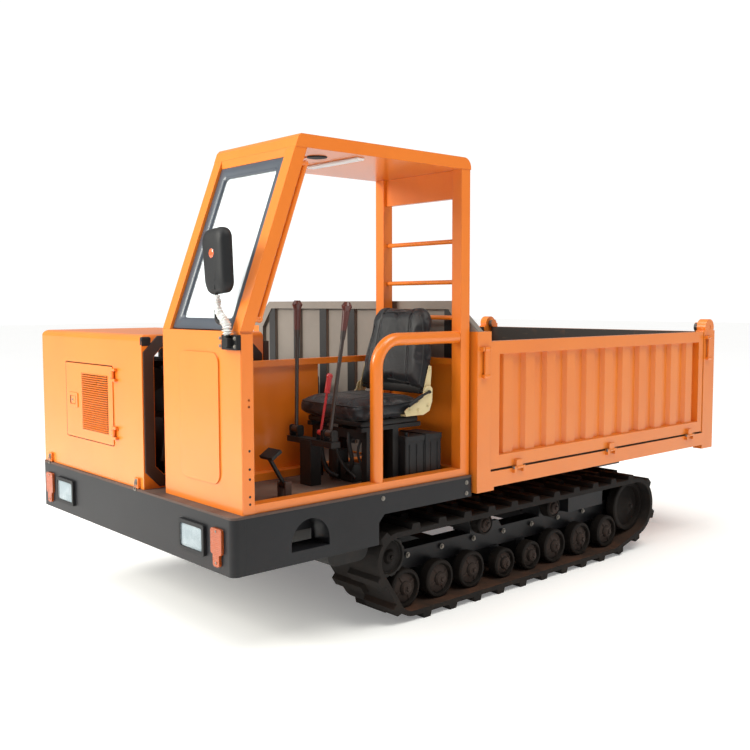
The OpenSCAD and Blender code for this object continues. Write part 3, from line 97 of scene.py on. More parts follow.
class Slot(Enum):
    """Material slots of the record."""

    ORANGE = "orange_paint"
    CHASSIS = "chassis_paint"
    DRAB = "drab_paint"
    RUBBER = "track_rubber"
    ROLLER = "roller_steel"
    SPROCKET = "sprocket_steel"
    ENGINE = "engine_black"
    PLASTIC = "black_plastic"
    BLACK = "black_steel"
    GLASS = "clear_glass"
    FABRIC = "seat_fabric"
    KNOB = "lever_knob"
    RED = "red_plastic"
    AMBER = "amber_plastic"
    LAMP = "lamp_housing"
    CYLINDER = "cylinder_paint"
    CHROME = "chrome_rod"


def srgb(code: str) -> tuple[float, float, float, float]:
    """Linear colour of a six-digit display code.

    Args:
        code: Hexadecimal digits of red, green and blue.

    Returns:
        Linear red, green, blue and an alpha of one.
    """
    parts = [int(code[k : k + 2], 16) / 255 for k in (0, 2, 4)]
    linear = [p / 12.92 if p <= 0.04045 else ((p + 0.055) / 1.055) ** 2.4 for p in parts]
    return (*linear, 1.0)


# ---------------------------------------------------------------- shader work


class Wiring:
    """Adds and joins nodes in one node tree."""

    def __init__(self, tree: bpy.types.NodeTree) -> None:
        """Keeps the tree."""
        self.tree = tree

    def node(self, kind: str, **settings: object) -> bpy.types.Node:
        """Adds a node and sets its properties.

        Args:
            kind: Blender's type name of the node.
            **settings: Property values by name.

        Returns:
            The new node.
        """
        made = self.tree.nodes.new(kind)
        for key, value in settings.items():
            setattr(made, key, value)
        return made

    def feed(self, socket: bpy.types.NodeSocket, source: object) -> None:
        """Links a socket to an output, or sets its constant."""
        if isinstance(source, bpy.types.NodeSocket):
            self.tree.links.new(source, socket)
        else:
            socket.default_value = source

    def here(self) -> bpy.types.NodeSocket:
        """Object coordinates of the shaded point."""
        return self.node("ShaderNodeTexCoord").outputs["Object"]

    def split(self, vector: bpy.types.NodeSocket) -> bpy.types.NodeOutputs:
        """Sockets of a vector's X, Y and Z, found by name."""
        made = self.node("ShaderNodeSeparateXYZ")
        self.feed(made.inputs[0], vector)
        return made.outputs

    def maths(self, operation: str, *values: object, clamp: bool = False) -> bpy.types.NodeSocket:
        """Result of a Math node.

        Args:
            operation: Blender's name of the operation.
            *values: Sockets or numbers for the inputs in order.
            clamp: Whether the result stays between zero and one.

        Returns:
            The node's output.
        """
        made = self.node("ShaderNodeMath", operation=operation, use_clamp=clamp)
        for socket, value in zip(made.inputs, values):
            self.feed(socket, value)
        return made.outputs[0]

    def mix(self, share: object, first: object, second: object) -> bpy.types.NodeSocket:
        """Colour between two others.

        Args:
            share: Weight of the second colour.
            first: Colour at a weight of zero.
            second: Colour at a weight of one.

        Returns:
            The mixed colour's socket.
        """
        made = self.node("ShaderNodeMix", data_type="RGBA")
        self.feed(made.inputs["Factor"], share)
        self.feed(made.inputs[6], first)
        self.feed(made.inputs[7], second)
        return made.outputs[2]

    def ramp(self, value: object, low: object, high: object) -> bpy.types.NodeSocket:
        """Value mapped so that low gives zero and high gives one, clamped."""
        made = self.node("ShaderNodeMapRange", clamp=True)
        for socket, number in zip(made.inputs, (value, low, high, 0.0, 1.0)):
            self.feed(socket, number)
        return made.outputs[0]

    def noise(self, where: object, scale: object, detail: float = 3.0,
              rough: float = 0.5) -> bpy.types.NodeSocket:
        """Noise value at a place, from zero to one."""
        made = self.node("ShaderNodeTexNoise")
        self.feed(made.inputs["Vector"], where)
        self.feed(made.inputs["Scale"], scale)
        self.feed(made.inputs["Detail"], detail)
        self.feed(made.inputs["Roughness"], rough)
        return made.outputs["Fac"]


class Effects:
    """Shared surface effects, each a node group that is built once."""

    def __init__(self) -> None:
        """Builds every group."""
        self.edges = self._edges()
        self.dust = self._dust()
        self.grain = self._grain()
        self.weave = self._weave()

    @staticmethod
    def _start(name: str, takes: Sequence[tuple[str, float]], gives: Sequence[tuple[str, str]]) -> tuple:
        """Makes an empty group.

        Args:
            name: Name of the group.
            takes: Input names with their default numbers.
            gives: Output names with their socket types.

        Returns:
            The group, its wiring, and its input and output nodes.
        """
        group = bpy.data.node_groups.new(name, "ShaderNodeTree")
        for label, value in takes:
            socket = group.interface.new_socket(label, in_out="INPUT", socket_type="NodeSocketFloat")
            socket.default_value = value
        for label, kind in gives:
            group.interface.new_socket(label, in_out="OUTPUT", socket_type=kind)
        wiring = Wiring(group)
        return group, wiring, wiring.node("NodeGroupInput"), wiring.node("NodeGroupOutput")

    def _edges(self) -> bpy.types.NodeTree:
        """Rounded edges and the mask of paint that is rubbed off them."""
        group, w, take, give = self._start(
            "rubbed_edges", [("Radius", 0.003), ("Amount", 0.5)],
            [("Worn", "NodeSocketFloat"), ("Normal", "NodeSocketVector")])
        rounded = w.node("ShaderNodeBevel", samples=4)
        w.feed(rounded.inputs["Radius"], take.outputs["Radius"])
        true = w.node("ShaderNodeNewGeometry")
        dot = w.node("ShaderNodeVectorMath", operation="DOT_PRODUCT")
        w.feed(dot.inputs[0], rounded.outputs[0])
        w.feed(dot.inputs[1], true.outputs["True Normal"])
        bend = w.ramp(w.maths("SUBTRACT", 1.0, dot.outputs["Value"]), 0.03, 0.25)
        where = w.here()
        patchy = w.ramp(w.noise(where, 26.0, 5.0, 0.7), 0.5, 0.66)
        worn = w.maths("MULTIPLY", w.maths("MULTIPLY", bend, patchy), take.outputs["Amount"], clamp=True)
        w.feed(give.inputs["Worn"], worn)
        w.feed(give.inputs["Normal"], rounded.outputs[0])
        return group

    def _dust(self) -> bpy.types.NodeTree:
        """Dust that lies low on the machine and on faces that look up."""
        group, w, take, give = self._start(
            "settled_dust", [("Low", 0.1), ("High", 0.9), ("Amount", 0.5)], [("Dust", "NodeSocketFloat")])
        place = w.node("ShaderNodeTexCoord").outputs
        lowness = w.ramp(w.split(place["Object"])["Z"], take.outputs["High"], take.outputs["Low"])
        upward = w.ramp(w.split(place["Normal"])["Z"], 0.45, 0.95)
        film = w.ramp(w.noise(place["Object"], 5.0, 6.0, 0.6), 0.35, 0.7)
        spots = w.ramp(w.noise(place["Object"], 14.0, 8.0, 0.68), 0.34, 0.72)
        lying = w.maths("MULTIPLY", upward, film)
        thrown = w.maths("MULTIPLY", lowness, spots)
        both = w.maths("MAXIMUM", lying, thrown)
        w.feed(give.inputs["Dust"], w.maths("MULTIPLY", both, take.outputs["Amount"], clamp=True))
        return group

    def _grain(self) -> bpy.types.NodeTree:
        """Fine grain, broad patches and thin scratches."""
        group, w, take, give = self._start(
            "surface_grain", [("Scale", 300.0), ("Broad", 2.2)],
            [("Fine", "NodeSocketFloat"), ("Patch", "NodeSocketFloat"), ("Scratch", "NodeSocketFloat")])
        where = w.here()
        w.feed(give.inputs["Fine"], w.noise(where, take.outputs["Scale"], 2.0, 0.55))
        w.feed(give.inputs["Patch"], w.ramp(w.noise(where, take.outputs["Broad"], 4.0, 0.55), 0.3, 0.7))
        stretched = w.node("ShaderNodeMapping")
        w.feed(stretched.inputs["Vector"], where)
        stretched.inputs["Rotation"].default_value = (0.3, 0.5, 0.2)
        stretched.inputs["Scale"].default_value = (6.0, 8.0, 150.0)
        lines = w.ramp(w.noise(stretched.outputs[0], 1.6, 2.0, 0.4), 0.69, 0.74)
        gaps = w.ramp(w.noise(where, 7.0, 3.0, 0.5), 0.5, 0.62)
        w.feed(give.inputs["Scratch"], w.maths("MULTIPLY", lines, gaps))
        return group

    def _weave(self) -> bpy.types.NodeTree:
        """Crossing threads of a coated cloth."""
        group, w, take, give = self._start("cloth_weave", [("Scale", 700.0)], [("Height", "NodeSocketFloat")])
        where = w.here()
        waves = []
        for direction in ("X", "Y", "Z"):
            wave = w.node("ShaderNodeTexWave", bands_direction=direction)
            w.feed(wave.inputs["Vector"], where)
            w.feed(wave.inputs["Scale"], take.outputs["Scale"])
            wave.inputs["Distortion"].default_value = 0.6
            waves.append(wave.outputs["Fac"])
        crossed = w.maths("MULTIPLY", w.maths("ADD", waves[0], waves[2]), waves[1])
        w.feed(give.inputs["Height"], w.maths("ADD", crossed, w.noise(where, 420.0, 2.0, 0.5)))
        return group


def blank_material(name: str) -> tuple[bpy.types.Material, bpy.types.Node, Wiring]:
    """New material with its shader node and the wiring of its tree."""
    material = bpy.data.materials.new(name)
    material.use_nodes = True
    return material, material.node_tree.nodes["Principled BSDF"], Wiring(material.node_tree)


@dataclass(frozen=True)
class Finish:
    """An opaque surface finish with grain, patches, dust and rubbed edges."""

    name: str
    colour: str
    second: str
    bare: str = "4a3a30"
    dust_colour: str = "8d7a66"
    rough: float = 0.4
    rough_spread: float = 0.1
    metallic: float = 0.0
    coat: float = 0.0
    sheen: float = 0.0
    grain: float = 320.0
    broad: float = 2.2
    bump: float = 0.12
    depth: float = 0.0006
    wear: float = 0.5
    edge: float = 0.0025
    scratch: float = 0.15
    dust: float = 0.3
    low: float = 0.1
    high: float = 0.9
    weave: float = 0.0
    specular: float = 0.5

    def group(self, w: Wiring, tree: bpy.types.NodeTree, **values: float) -> bpy.types.Node:
        """Places a shared effect in the material with its own values."""
        made = w.node("ShaderNodeGroup", node_tree=tree)
        for key, value in values.items():
            made.inputs[key].default_value = value
        return made

    def tint(self, w: Wiring, base: bpy.types.NodeSocket) -> bpy.types.NodeSocket:
        """Own changes of a finish to its base colour; none here."""
        return base

    def relief(self, w: Wiring, height: bpy.types.NodeSocket) -> bpy.types.NodeSocket:
        """Own changes of a finish to its bump height; none here."""
        return height

    def build(self, effects: Effects) -> bpy.types.Material:
        """Builds the material.

        Args:
            effects: The shared node groups.

        Returns:
            The finished material.
        """
        material, shader, w = blank_material(self.name)
        material.diffuse_color = srgb(self.colour)
        grain = self.group(w, effects.grain, Scale=self.grain, Broad=self.broad)
        edges = self.group(w, effects.edges, Radius=self.edge, Amount=self.wear)
        dust = self.group(w, effects.dust, Low=self.low, High=self.high, Amount=self.dust)
        base = w.mix(grain.outputs["Patch"], srgb(self.colour), srgb(self.second))
        base = self.tint(w, base)
        scratch = w.maths("MULTIPLY", grain.outputs["Scratch"], self.scratch)
        base = w.mix(scratch, base, srgb(self.dust_colour))
        base = w.mix(edges.outputs["Worn"], base, srgb(self.bare))
        base = w.mix(dust.outputs["Dust"], base, srgb(self.dust_colour))
        w.feed(shader.inputs["Base Color"], base)
        smoothest = self.rough - self.rough_spread / 2
        rough = w.maths("MULTIPLY_ADD", grain.outputs["Fine"], self.rough_spread, smoothest)
        rough = w.maths("MULTIPLY_ADD", dust.outputs["Dust"], 0.4, rough, clamp=True)
        w.feed(shader.inputs["Roughness"], rough)
        shader.inputs["Metallic"].default_value = self.metallic
        shader.inputs["Coat Weight"].default_value = self.coat
        shader.inputs["Coat Roughness"].default_value = 0.12
        shader.inputs["Sheen Weight"].default_value = self.sheen
        shader.inputs["Specular IOR Level"].default_value = self.specular
        height = grain.outputs["Fine"]
        if self.weave:
            height = self.group(w, effects.weave, Scale=self.weave).outputs["Height"]
        bump = w.node("ShaderNodeBump")
        bump.inputs["Strength"].default_value = self.bump
        bump.inputs["Distance"].default_value = self.depth
        w.feed(bump.inputs["Height"], self.relief(w, height))
        w.feed(bump.inputs["Normal"], edges.outputs["Normal"])
        w.feed(shader.inputs["Normal"], bump.outputs[0])
        return material


@dataclass(frozen=True)
class GatePaint(Finish):
    """Paint of the load box: orange outside, with painted shade on the faces inside, broken by paler scuffs.

    The three weights say which faces get the painted shade: those that look to the middle, forwards, or up
    from the floor.
    """

    # Colour of the painted shade on the faces inside the box.
    inside: str = "2f2a27"
    across: float = 1.0
    along: float = 0.0
    floor: float = 0.0

    def tint(self, w: Wiring, base: bpy.types.NodeSocket) -> bpy.types.NodeSocket:
        """Paints shade on the faces that look into the box, with paler scuffs of worn paint."""
        place = w.node("ShaderNodeTexCoord").outputs
        at, facing = w.split(place["Object"]), w.split(place["Normal"])
        inward = w.maths("MULTIPLY", w.maths("SIGN", at["X"]), facing["X"])
        inward = w.maths("MULTIPLY", inward, self.across)
        inward = w.maths("MULTIPLY_ADD", facing["Y"], self.along, inward)
        low = w.maths("MULTIPLY", w.ramp(at["Z"], 0.70, 0.69), facing["Z"])
        inward = w.maths("MULTIPLY_ADD", low, -self.floor, inward)
        scuffs = w.ramp(w.noise(place["Object"], 6.0, 6.0, 0.65), 0.55, 0.75)
        dark = w.mix(w.maths("MULTIPLY", scuffs, 0.5), srgb(self.inside), srgb(self.bare))
        # Faces that look into the box take the painted shade.
        return w.mix(w.ramp(inward, -0.2, -0.7), base, dark)


@dataclass(frozen=True)
class BoardPaint(Finish):
    """Drab headboard paint, with painted shade on the faces of the pressed channels between the paler panels.
    """

    # Near-black colour of the painted shade in the pressed channels.
    channel: str = "1d1a19"
    channel_y: float = -0.432
    half: float = 0.0016

    def tint(self, w: Wiring, base: bpy.types.NodeSocket) -> bpy.types.NodeSocket:
        """Paints shade on the faces of the channels, which lie in one plane."""
        at = w.split(w.here())
        away = w.maths("ABSOLUTE", w.maths("SUBTRACT", at["Y"], self.channel_y))
        return w.mix(w.ramp(away, self.half * 1.4, self.half), base, srgb(self.channel))


@dataclass(frozen=True)
class TreadRubber(Finish):
    """Belt rubber with brown dry soil on the inner face and greyer lugs."""

    soil: str = "4f3324"

    def tint(self, w: Wiring, base: bpy.types.NodeSocket) -> bpy.types.NodeSocket:
        """Brown soil where the ground run's inner face looks up."""
        place = w.node("ShaderNodeTexCoord").outputs
        at, facing = w.split(place["Object"]), w.split(place["Normal"])
        floor = w.maths("MULTIPLY", w.ramp(facing["Z"], 0.5, 0.9), w.ramp(at["Z"], 0.2, 0.06))
        patchy = w.ramp(w.noise(place["Object"], 9.0, 6.0, 0.6), 0.25, 0.6)
        return w.mix(w.maths("MULTIPLY", floor, patchy), base, srgb(self.soil))


@dataclass(frozen=True)
class LeverFinish(Finish):
    """Black lever rod with a red-brown grip above a height."""

    grip: str = "4f231f"
    grip_z: float = 1.36

    def tint(self, w: Wiring, base: bpy.types.NodeSocket) -> bpy.types.NodeSocket:
        """Colours the part above the grip's lower end."""
        at = w.split(w.here())
        return w.mix(w.ramp(at["Z"], self.grip_z, self.grip_z + 0.004), base, srgb(self.grip))


@dataclass(frozen=True)
class AmberLens(Finish):
    """Moulded amber lens with a grid of prisms."""

    pitch: float = 130.0

    def relief(self, w: Wiring, height: bpy.types.NodeSocket) -> bpy.types.NodeSocket:
        """Prism cells in place of the grain."""
        where = w.here()
        cells = w.node("ShaderNodeTexVoronoi", distance="CHEBYCHEV")
        cells.inputs["Randomness"].default_value = 0.0
        w.feed(cells.inputs["Vector"], where)
        w.feed(cells.inputs["Scale"], self.pitch)
        return w.maths("ADD", cells.outputs["Distance"], w.maths("MULTIPLY", height, 0.1))


@dataclass(frozen=True)
class ClearGlass:
    """Clear pane or lens, with optional upright flutes."""

    name: str
    colour: str = "eef6fa"
    rough: float = 0.02
    flutes: float = 0.0
    strength: float = 0.0
    cover: float = 0.05

    def build(self, effects: Effects) -> bpy.types.Material:
        """Builds the material.

        Args:
            effects: The shared node groups; not used here.

        Returns:
            The glass material.
        """
        material, shader, w = blank_material(self.name)
        where = w.here()
        smudge = w.ramp(w.noise(where, 6.0, 5.0, 0.6), 0.45, 0.75)
        w.feed(shader.inputs["Base Color"], w.mix(smudge, srgb(self.colour), srgb("e2ebee")))
        w.feed(shader.inputs["Roughness"], w.maths("MULTIPLY_ADD", smudge, 0.03, self.rough))
        shader.inputs["IOR"].default_value = 1.45
        rim = w.node("ShaderNodeFresnel")
        rim.inputs["IOR"].default_value = 1.3
        w.feed(shader.inputs["Alpha"], w.maths("MULTIPLY_ADD", rim.outputs[0], 0.9, self.cover, clamp=True))
        bump = w.node("ShaderNodeBump")
        bump.inputs["Distance"].default_value = 0.001
        bump.inputs["Strength"].default_value = max(self.strength, 0.01)
        if self.flutes:
            wave = w.node("ShaderNodeTexWave", bands_direction="X", wave_profile="SIN")
            w.feed(wave.inputs["Vector"], where)
            w.feed(wave.inputs["Scale"], self.flutes)
            w.feed(bump.inputs["Height"], wave.outputs["Fac"])
        else:
            w.feed(bump.inputs["Height"], w.noise(where, 3.0, 2.0, 0.5))
        w.feed(shader.inputs["Normal"], bump.outputs[0])
        return material


class Palette:
    """Every finish of the machine, built once and found by name."""

    def __init__(self) -> None:
        """Builds the finishes."""
        effects = Effects()
        orange = {"bare": "7a5236", "dust_colour": "b08a63", "rough": 0.34, "rough_spread": 0.08, "coat": 0.3,
                  "grain": 260.0, "bump": 0.05, "depth": 0.0005, "wear": 0.5, "edge": 0.003, "scratch": 0.2}
        recipes = [
            Finish("orange_gloss", "e0781b", "db7117", dust=0.14, high=0.95, **orange),
            GatePaint("orange_gate", "de7a22", "d8721d", dust=0.2, high=1.2, **orange),
            GatePaint("tail_paint", "de7a22", "d8721d", dust=0.2, high=1.2, across=0.0, along=1.0, **orange),
            GatePaint("bed_paint", "de7a22", "d8721d", dust=0.2, high=1.2, across=0.0, floor=1.0, **orange),
            Finish("chassis_grey", "191a1e", "131417", bare="4c4741", dust_colour="453f3a", rough=0.42,
                   coat=0.05, grain=240.0, bump=0.1, wear=0.45, dust=0.14, low=0.2, high=0.75, scratch=0.15,
                   specular=0.22),
            Finish("deck_paint", "4a342b", "3b2a24", bare="7d7268", dust_colour="705e50", rough=0.62,
                   grain=180.0, bump=0.25, wear=0.6, dust=0.55, scratch=0.5),
            BoardPaint("board_paint", "857b72", "776e66", bare="aaa198", dust_colour="8f8478", rough=0.5,
                       coat=0.1, grain=200.0, bump=0.12, wear=0.6, dust=0.2, scratch=0.5, broad=3.5),
            TreadRubber("tread_rubber", "161413", "1c1918", bare="3c342e", dust_colour="3a2f26", rough=0.82,
                        grain=150.0, bump=0.35, depth=0.001, wear=0.55, edge=0.004, dust=0.5, low=0.02,
                        high=0.5, broad=7.0, scratch=0.1, specular=0.25),
            Finish("rim_iron", "141211", "1a1614", bare="4a372c", dust_colour="33281f", rough=0.66,
                   metallic=0.35, grain=120.0, bump=0.3, depth=0.001, wear=0.7, dust=0.45, low=0.02, high=0.5,
                   broad=9.0, specular=0.25),
            Finish("hub_rust", "33251e", "261c18", bare="5f4636", dust_colour="3f3026", rough=0.74,
                   metallic=0.2, grain=140.0, bump=0.4, depth=0.001, wear=0.7, dust=0.4, low=0.02, high=0.5,
                   broad=14.0),
            Finish("sprocket_iron", "151413", "1b1816", bare="55504b", dust_colour="33291f", rough=0.6,
                   metallic=0.5, grain=120.0, bump=0.3, wear=0.8, dust=0.4, low=0.02, high=0.5),
            Finish("engine_enamel", "101011", "161616", bare="6c6a66", dust_colour="4d453d", rough=0.5,
                   grain=200.0, bump=0.25, wear=0.6, dust=0.3, low=0.5, high=1.3),
            Finish("grained_plastic", "17181a", "1d1e20", bare="38393b", dust_colour="4f4c47", rough=0.52,
                   grain=520.0, bump=0.3, depth=0.0005, wear=0.35, dust=0.15, low=0.4, high=1.3, scratch=0.15,
                   specular=0.25),
            Finish("powder_black", "121213", "181819", bare="45423e", dust_colour="453e37", rough=0.5,
                   grain=420.0, bump=0.25, wear=0.5, dust=0.3, low=0.5, high=1.3, scratch=0.2, specular=0.25),
            Finish("seat_vinyl", "15181d", "111418", bare="2b2f35", dust_colour="3a3a3c", rough=0.38,
                   rough_spread=0.14, sheen=0.06, specular=0.4, bump=0.35, depth=0.0004, wear=0.15,
                   edge=0.002, dust=0.1, low=0.5, high=1.2, weave=260.0, scratch=0.0, broad=5.0),
            Finish("seat_piping", "141619", "191b1e", bare="2a2c30", rough=0.5, grain=600.0, bump=0.2,
                   dust=0.05),
            LeverFinish("lever_rod", "2f2622", "261f1c", bare="8a857e", rough=0.38, grain=300.0, bump=0.12,
                        dust=0.1, low=0.6, high=1.2, coat=0.2),
            Finish("red_grip", "b4262b", "a32125", bare="d46a66", rough=0.36, coat=0.3, grain=380.0, bump=0.1,
                   dust=0.1),
            AmberLens("amber_lens", "a8480c", "96400a", bare="c8742e", rough=0.22, coat=0.2, bump=0.9,
                      depth=0.003, dust=0.08, scratch=0.05, wear=0.2),
            AmberLens("reflector_orange", "e8602a", "dd5521", bare="f0a060", rough=0.2, coat=0.6, bump=0.4,
                      depth=0.0008, dust=0.05, scratch=0.0, wear=0.1, pitch=320.0),
            Finish("cylinder_black", "161618", "1c1c1e", bare="78736c", dust_colour="655a4e", rough=0.4,
                   coat=0.2, grain=300.0, bump=0.1, dust=0.3, low=0.3, high=0.8),
            Finish("hard_chrome", "d3d6da", "c6cacf", bare="e6e8ea", dust_colour="8f887e", rough=0.1,
                   rough_spread=0.05, metallic=1.0, grain=500.0, bump=0.02, wear=0.1, dust=0.12,
                   scratch=0.15),
            Finish("reflector_bowl", "62676d", "4b5056", bare="ffffff", rough=0.06, rough_spread=0.03,
                   metallic=1.0, grain=70.0, bump=0.6, depth=0.002, wear=0.0, dust=0.02, scratch=0.0),
            Finish("zinc_bolt", "8b8780", "7b766f", bare="b9b4ab", dust_colour="77695a", rough=0.42,
                   metallic=0.8, grain=300.0, bump=0.15, wear=0.4, dust=0.3, scratch=0.1, edge=0.001),
            Finish("screen_seal", "3c444f", "323943", bare="6c747e", dust_colour="7c8188", rough=0.42,
                   coat=0.25, grain=360.0, bump=0.12, wear=0.2, dust=0.1, scratch=0.05),
            # Dark brown of the band round the hood's side opening: painted shade, tinted by a painted orange
            # reflection.
            Finish("hood_trim", "35231d", "2a1c18", bare="5b4033", dust_colour="4f3f34", rough=0.5,
                   grain=300.0, bump=0.15, wear=0.3, dust=0.2, scratch=0.1),
            Finish("cream_bracket", "cdbf94", "bfae80", bare="8c8064", dust_colour="a59578", rough=0.42,
                   coat=0.2, grain=260.0, bump=0.08, wear=0.5, dust=0.1, edge=0.0015),
            Finish("hose_rubber", "101010", "161515", bare="3a3735", dust_colour="5a5047", rough=0.6,
                   grain=300.0, bump=0.3, dust=0.2, low=0.5, high=1.2),
            Finish("panel_hole", "120d0a", "1a120e", rough=0.7, dust=0.1, scratch=0.0),
            # White of the lamp bulbs, also used for the strip of painted light under the cab's roof.
            Finish("roof_lamp", "e9ecec", "dfe3e4", bare="f2f2f0", rough=0.3, grain=200.0, bump=0.05,
                   dust=0.05, scratch=0.0),
            Finish("mirror_silver", "e8ecef", "dfe4e8", bare="ffffff", rough=0.03, rough_spread=0.02,
                   metallic=1.0, grain=4.0, bump=0.005, wear=0.0, dust=0.03, scratch=0.0),
            Finish("wrap_film", "dfe0de", "c9c9c6", bare="ffffff", dust_colour="b9b3a8", rough=0.22, coat=0.5,
                   grain=60.0, bump=0.8, depth=0.003, wear=0.0, dust=0.05, scratch=0.0, broad=40.0),
            Finish("studio_floor", "fafaf9", "f7f7f5", bare="ffffff", dust_colour="e6e4e0", rough=0.75,
                   grain=60.0, bump=0.03, wear=0.0, dust=0.05, scratch=0.0, broad=0.5),
            ClearGlass("clear_pane"),
            ClearGlass("fluted_lens", colour="a9b6bd", rough=0.03, flutes=28.0, strength=0.35, cover=0.08),
        ]
        self._made = {recipe.name: recipe.build(effects) for recipe in recipes}

    def __getitem__(self, name: str) -> bpy.types.Material:
        """Finish of that name."""
        return self._made[name]


# ---------------------------------------------------------------- mesh work


def rounded_loop(lo: tuple[float, float], hi: tuple[float, float], radius: float,
                 steps: int = 6) -> list[tuple[float, float]]:
    """Points round a rectangle with rounded corners.

    Args:
        lo: Lowest corner.
        hi: Highest corner.
        radius: Radius of the corners.
        steps: Spans in each corner.

    Returns:
        Points in order, anticlockwise.
    """
    centres = [(hi[0] - radius, hi[1] - radius), (lo[0] + radius, hi[1] - radius),
               (lo[0] + radius, lo[1] + radius), (hi[0] - radius, lo[1] + radius)]
    points = []
    for quarter, (cx, cy) in enumerate(centres):
        for k in range(steps + 1):
            angle = (quarter + k / steps) * math.pi / 2
            points.append((cx + radius * math.cos(angle), cy + radius * math.sin(angle)))
    return points


def add_object(name: str, data: bpy.types.ID) -> bpy.types.Object:
    """Makes an object and adds it to the scene."""
    made = bpy.data.objects.new(name, data)
    bpy.context.scene.collection.objects.link(made)
    return made


class Workpiece:
    """Points and faces of one piece while it is being made."""

    # Radius and height of a bolt's washer and head, as shares of the head's corner radius.
    WASHER = ((1.55, 0.0), (1.55, 0.22), (1.45, 0.3), (1.0, 0.3))
    HEAD = ((1.0, 0.25), (1.0, 0.85), (0.86, 1.0), (0.3, 1.02))

    def __init__(self) -> None:
        """Starts with nothing."""
        self.points: list[Vector] = []
        self.faces: list[tuple[int, ...]] = []

    def loft(self, rings: Sequence[Sequence[Vector]], ends: tuple[bool, bool] = (True, True),
             round_again: bool = False) -> None:
        """Skins rings of equal length.

        Args:
            rings: Closed rings of points.
            ends: Whether the first and the last ring are closed with a face.
            round_again: Whether the last ring joins the first.
        """
        base, n = len(self.points), len(rings[0])
        for ring in rings:
            self.points.extend(Vector(p) for p in ring)
        spans = len(rings) if round_again else len(rings) - 1
        for r in range(spans):
            low, high = base + r * n, base + ((r + 1) % len(rings)) * n
            for k in range(n):
                nxt = (k + 1) % n
                self.faces.append((low + k, low + nxt, high + nxt, high + k))
        if not round_again:
            if ends[0]:
                self.faces.append(tuple(base + k for k in reversed(range(n))))
            if ends[1]:
                self.faces.append(tuple(base + (len(rings) - 1) * n + k for k in range(n)))

    def lathe(self, origin: Vector, axis: Vector, profile: Sequence[tuple[float, float]], steps: int = 32,
              turn: float = 0.0) -> None:
        """Turned shape.

        Args:
            origin: Point on the axis where heights start.
            axis: Direction of the axis.
            profile: Radius and height pairs in order.
            steps: Spans round the axis.
            turn: Angle of the first point.
        """
        along = axis.normalized()
        across = along.orthogonal().normalized()
        other = along.cross(across)
        angles = [turn + TAU * k / steps for k in range(steps)]
        spokes = [across * math.cos(angle) + other * math.sin(angle) for angle in angles]
        self.loft([[origin + along * height + spoke * radius for spoke in spokes] for radius,
                   height in profile])

    def bolt(self, at: Vector, axis: Vector, size: float) -> None:
        """Hexagon head on a round washer, size across the corners' radius."""
        self.lathe(at, axis, [(size * r, size * h) for r, h in self.WASHER], 20)
        self.lathe(at, axis, [(size * r, size * h) for r, h in self.HEAD], 6, 0.4)

    def tube(self, path: Sequence[Vector], radius: float | Sequence[float], steps: int = 12) -> None:
        """Round bar or hose along a path.

        Args:
            path: Points of the centreline.
            radius: One radius, or one for each point.
            steps: Spans round the section.
        """
        radii = [radius] * len(path) if isinstance(radius, (int, float)) else list(radius)
        rings = []
        side: Optional[Vector] = None
        for k, point in enumerate(path):
            ahead = (path[min(k + 1, len(path) - 1)] - path[max(k - 1, 0)]).normalized()
            side = ahead.orthogonal() if side is None else side - ahead * side.dot(ahead)
            side = side.normalized()
            other = ahead.cross(side)
            spokes = [side * math.cos(TAU * j / steps) + other * math.sin(TAU * j / steps)
                      for j in range(steps)]
            rings.append([point + spoke * radii[k] for spoke in spokes])
        self.loft(rings)

    def block(self, lo: Sequence[float], hi: Sequence[float], edge: float = 0.003) -> None:
        """Box with softened edges between two corners."""
        rings = []
        for z, inset in ((lo[2], edge), (lo[2] + edge * 0.3, edge * 0.3), (lo[2] + edge, 0.0),
                         (hi[2] - edge, 0.0), (hi[2] - edge * 0.3, edge * 0.3), (hi[2], edge)):
            loop = rounded_loop((lo[0] + inset, lo[1] + inset), (hi[0] - inset, hi[1] - inset), edge, 3)
            rings.append([Vector((x, y, z)) for x, y in loop])
        self.loft(rings)

    def plate(self, outline: Sequence[tuple[float, float]], place: Placer, low: float, high: float,
              edge: float = 0.001) -> None:
        """Flat plate with softened rims.

        Args:
            outline: Points of the plate's outline.
            place: Turns outline coordinates and a height into a point.
            low: Height of the lower face.
            high: Height of the upper face.
            edge: Width of the softened rim.
        """
        inner = shrink(outline, edge)
        self.loft([[place(u, v, low) for u, v in inner], [place(u, v, low + edge) for u, v in outline],
                   [place(u, v, high - edge) for u, v in outline], [place(u, v, high) for u, v in inner]])

    def piece(self, name: str, material: bpy.types.Material, body: str,
              sharp: float = 38.0) -> bpy.types.Object:
        """Turns the work into an object that rides on a body.

        Args:
            name: Name of the piece.
            material: Its finish.
            body: Frame body it moves with.
            sharp: Angle in degrees above which an edge stays crisp.

        Returns:
            The new object.
        """
        mesh = bpy.data.meshes.new(name)
        mesh.from_pydata([tuple(p) for p in self.points], [], self.faces)
        work = bmesh.new()
        work.from_mesh(mesh)
        bmesh.ops.recalc_face_normals(work, faces=work.faces)
        work.to_mesh(mesh)
        work.free()
        for face in mesh.polygons:
            face.use_smooth = True
        mesh.set_sharp_from_angle(angle=math.radians(sharp))
        mesh.materials.append(material)
        made = add_object(name, mesh)
        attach(made, body)
        log.info("%s: %d faces on %s", name, len(mesh.polygons), body)
        return made


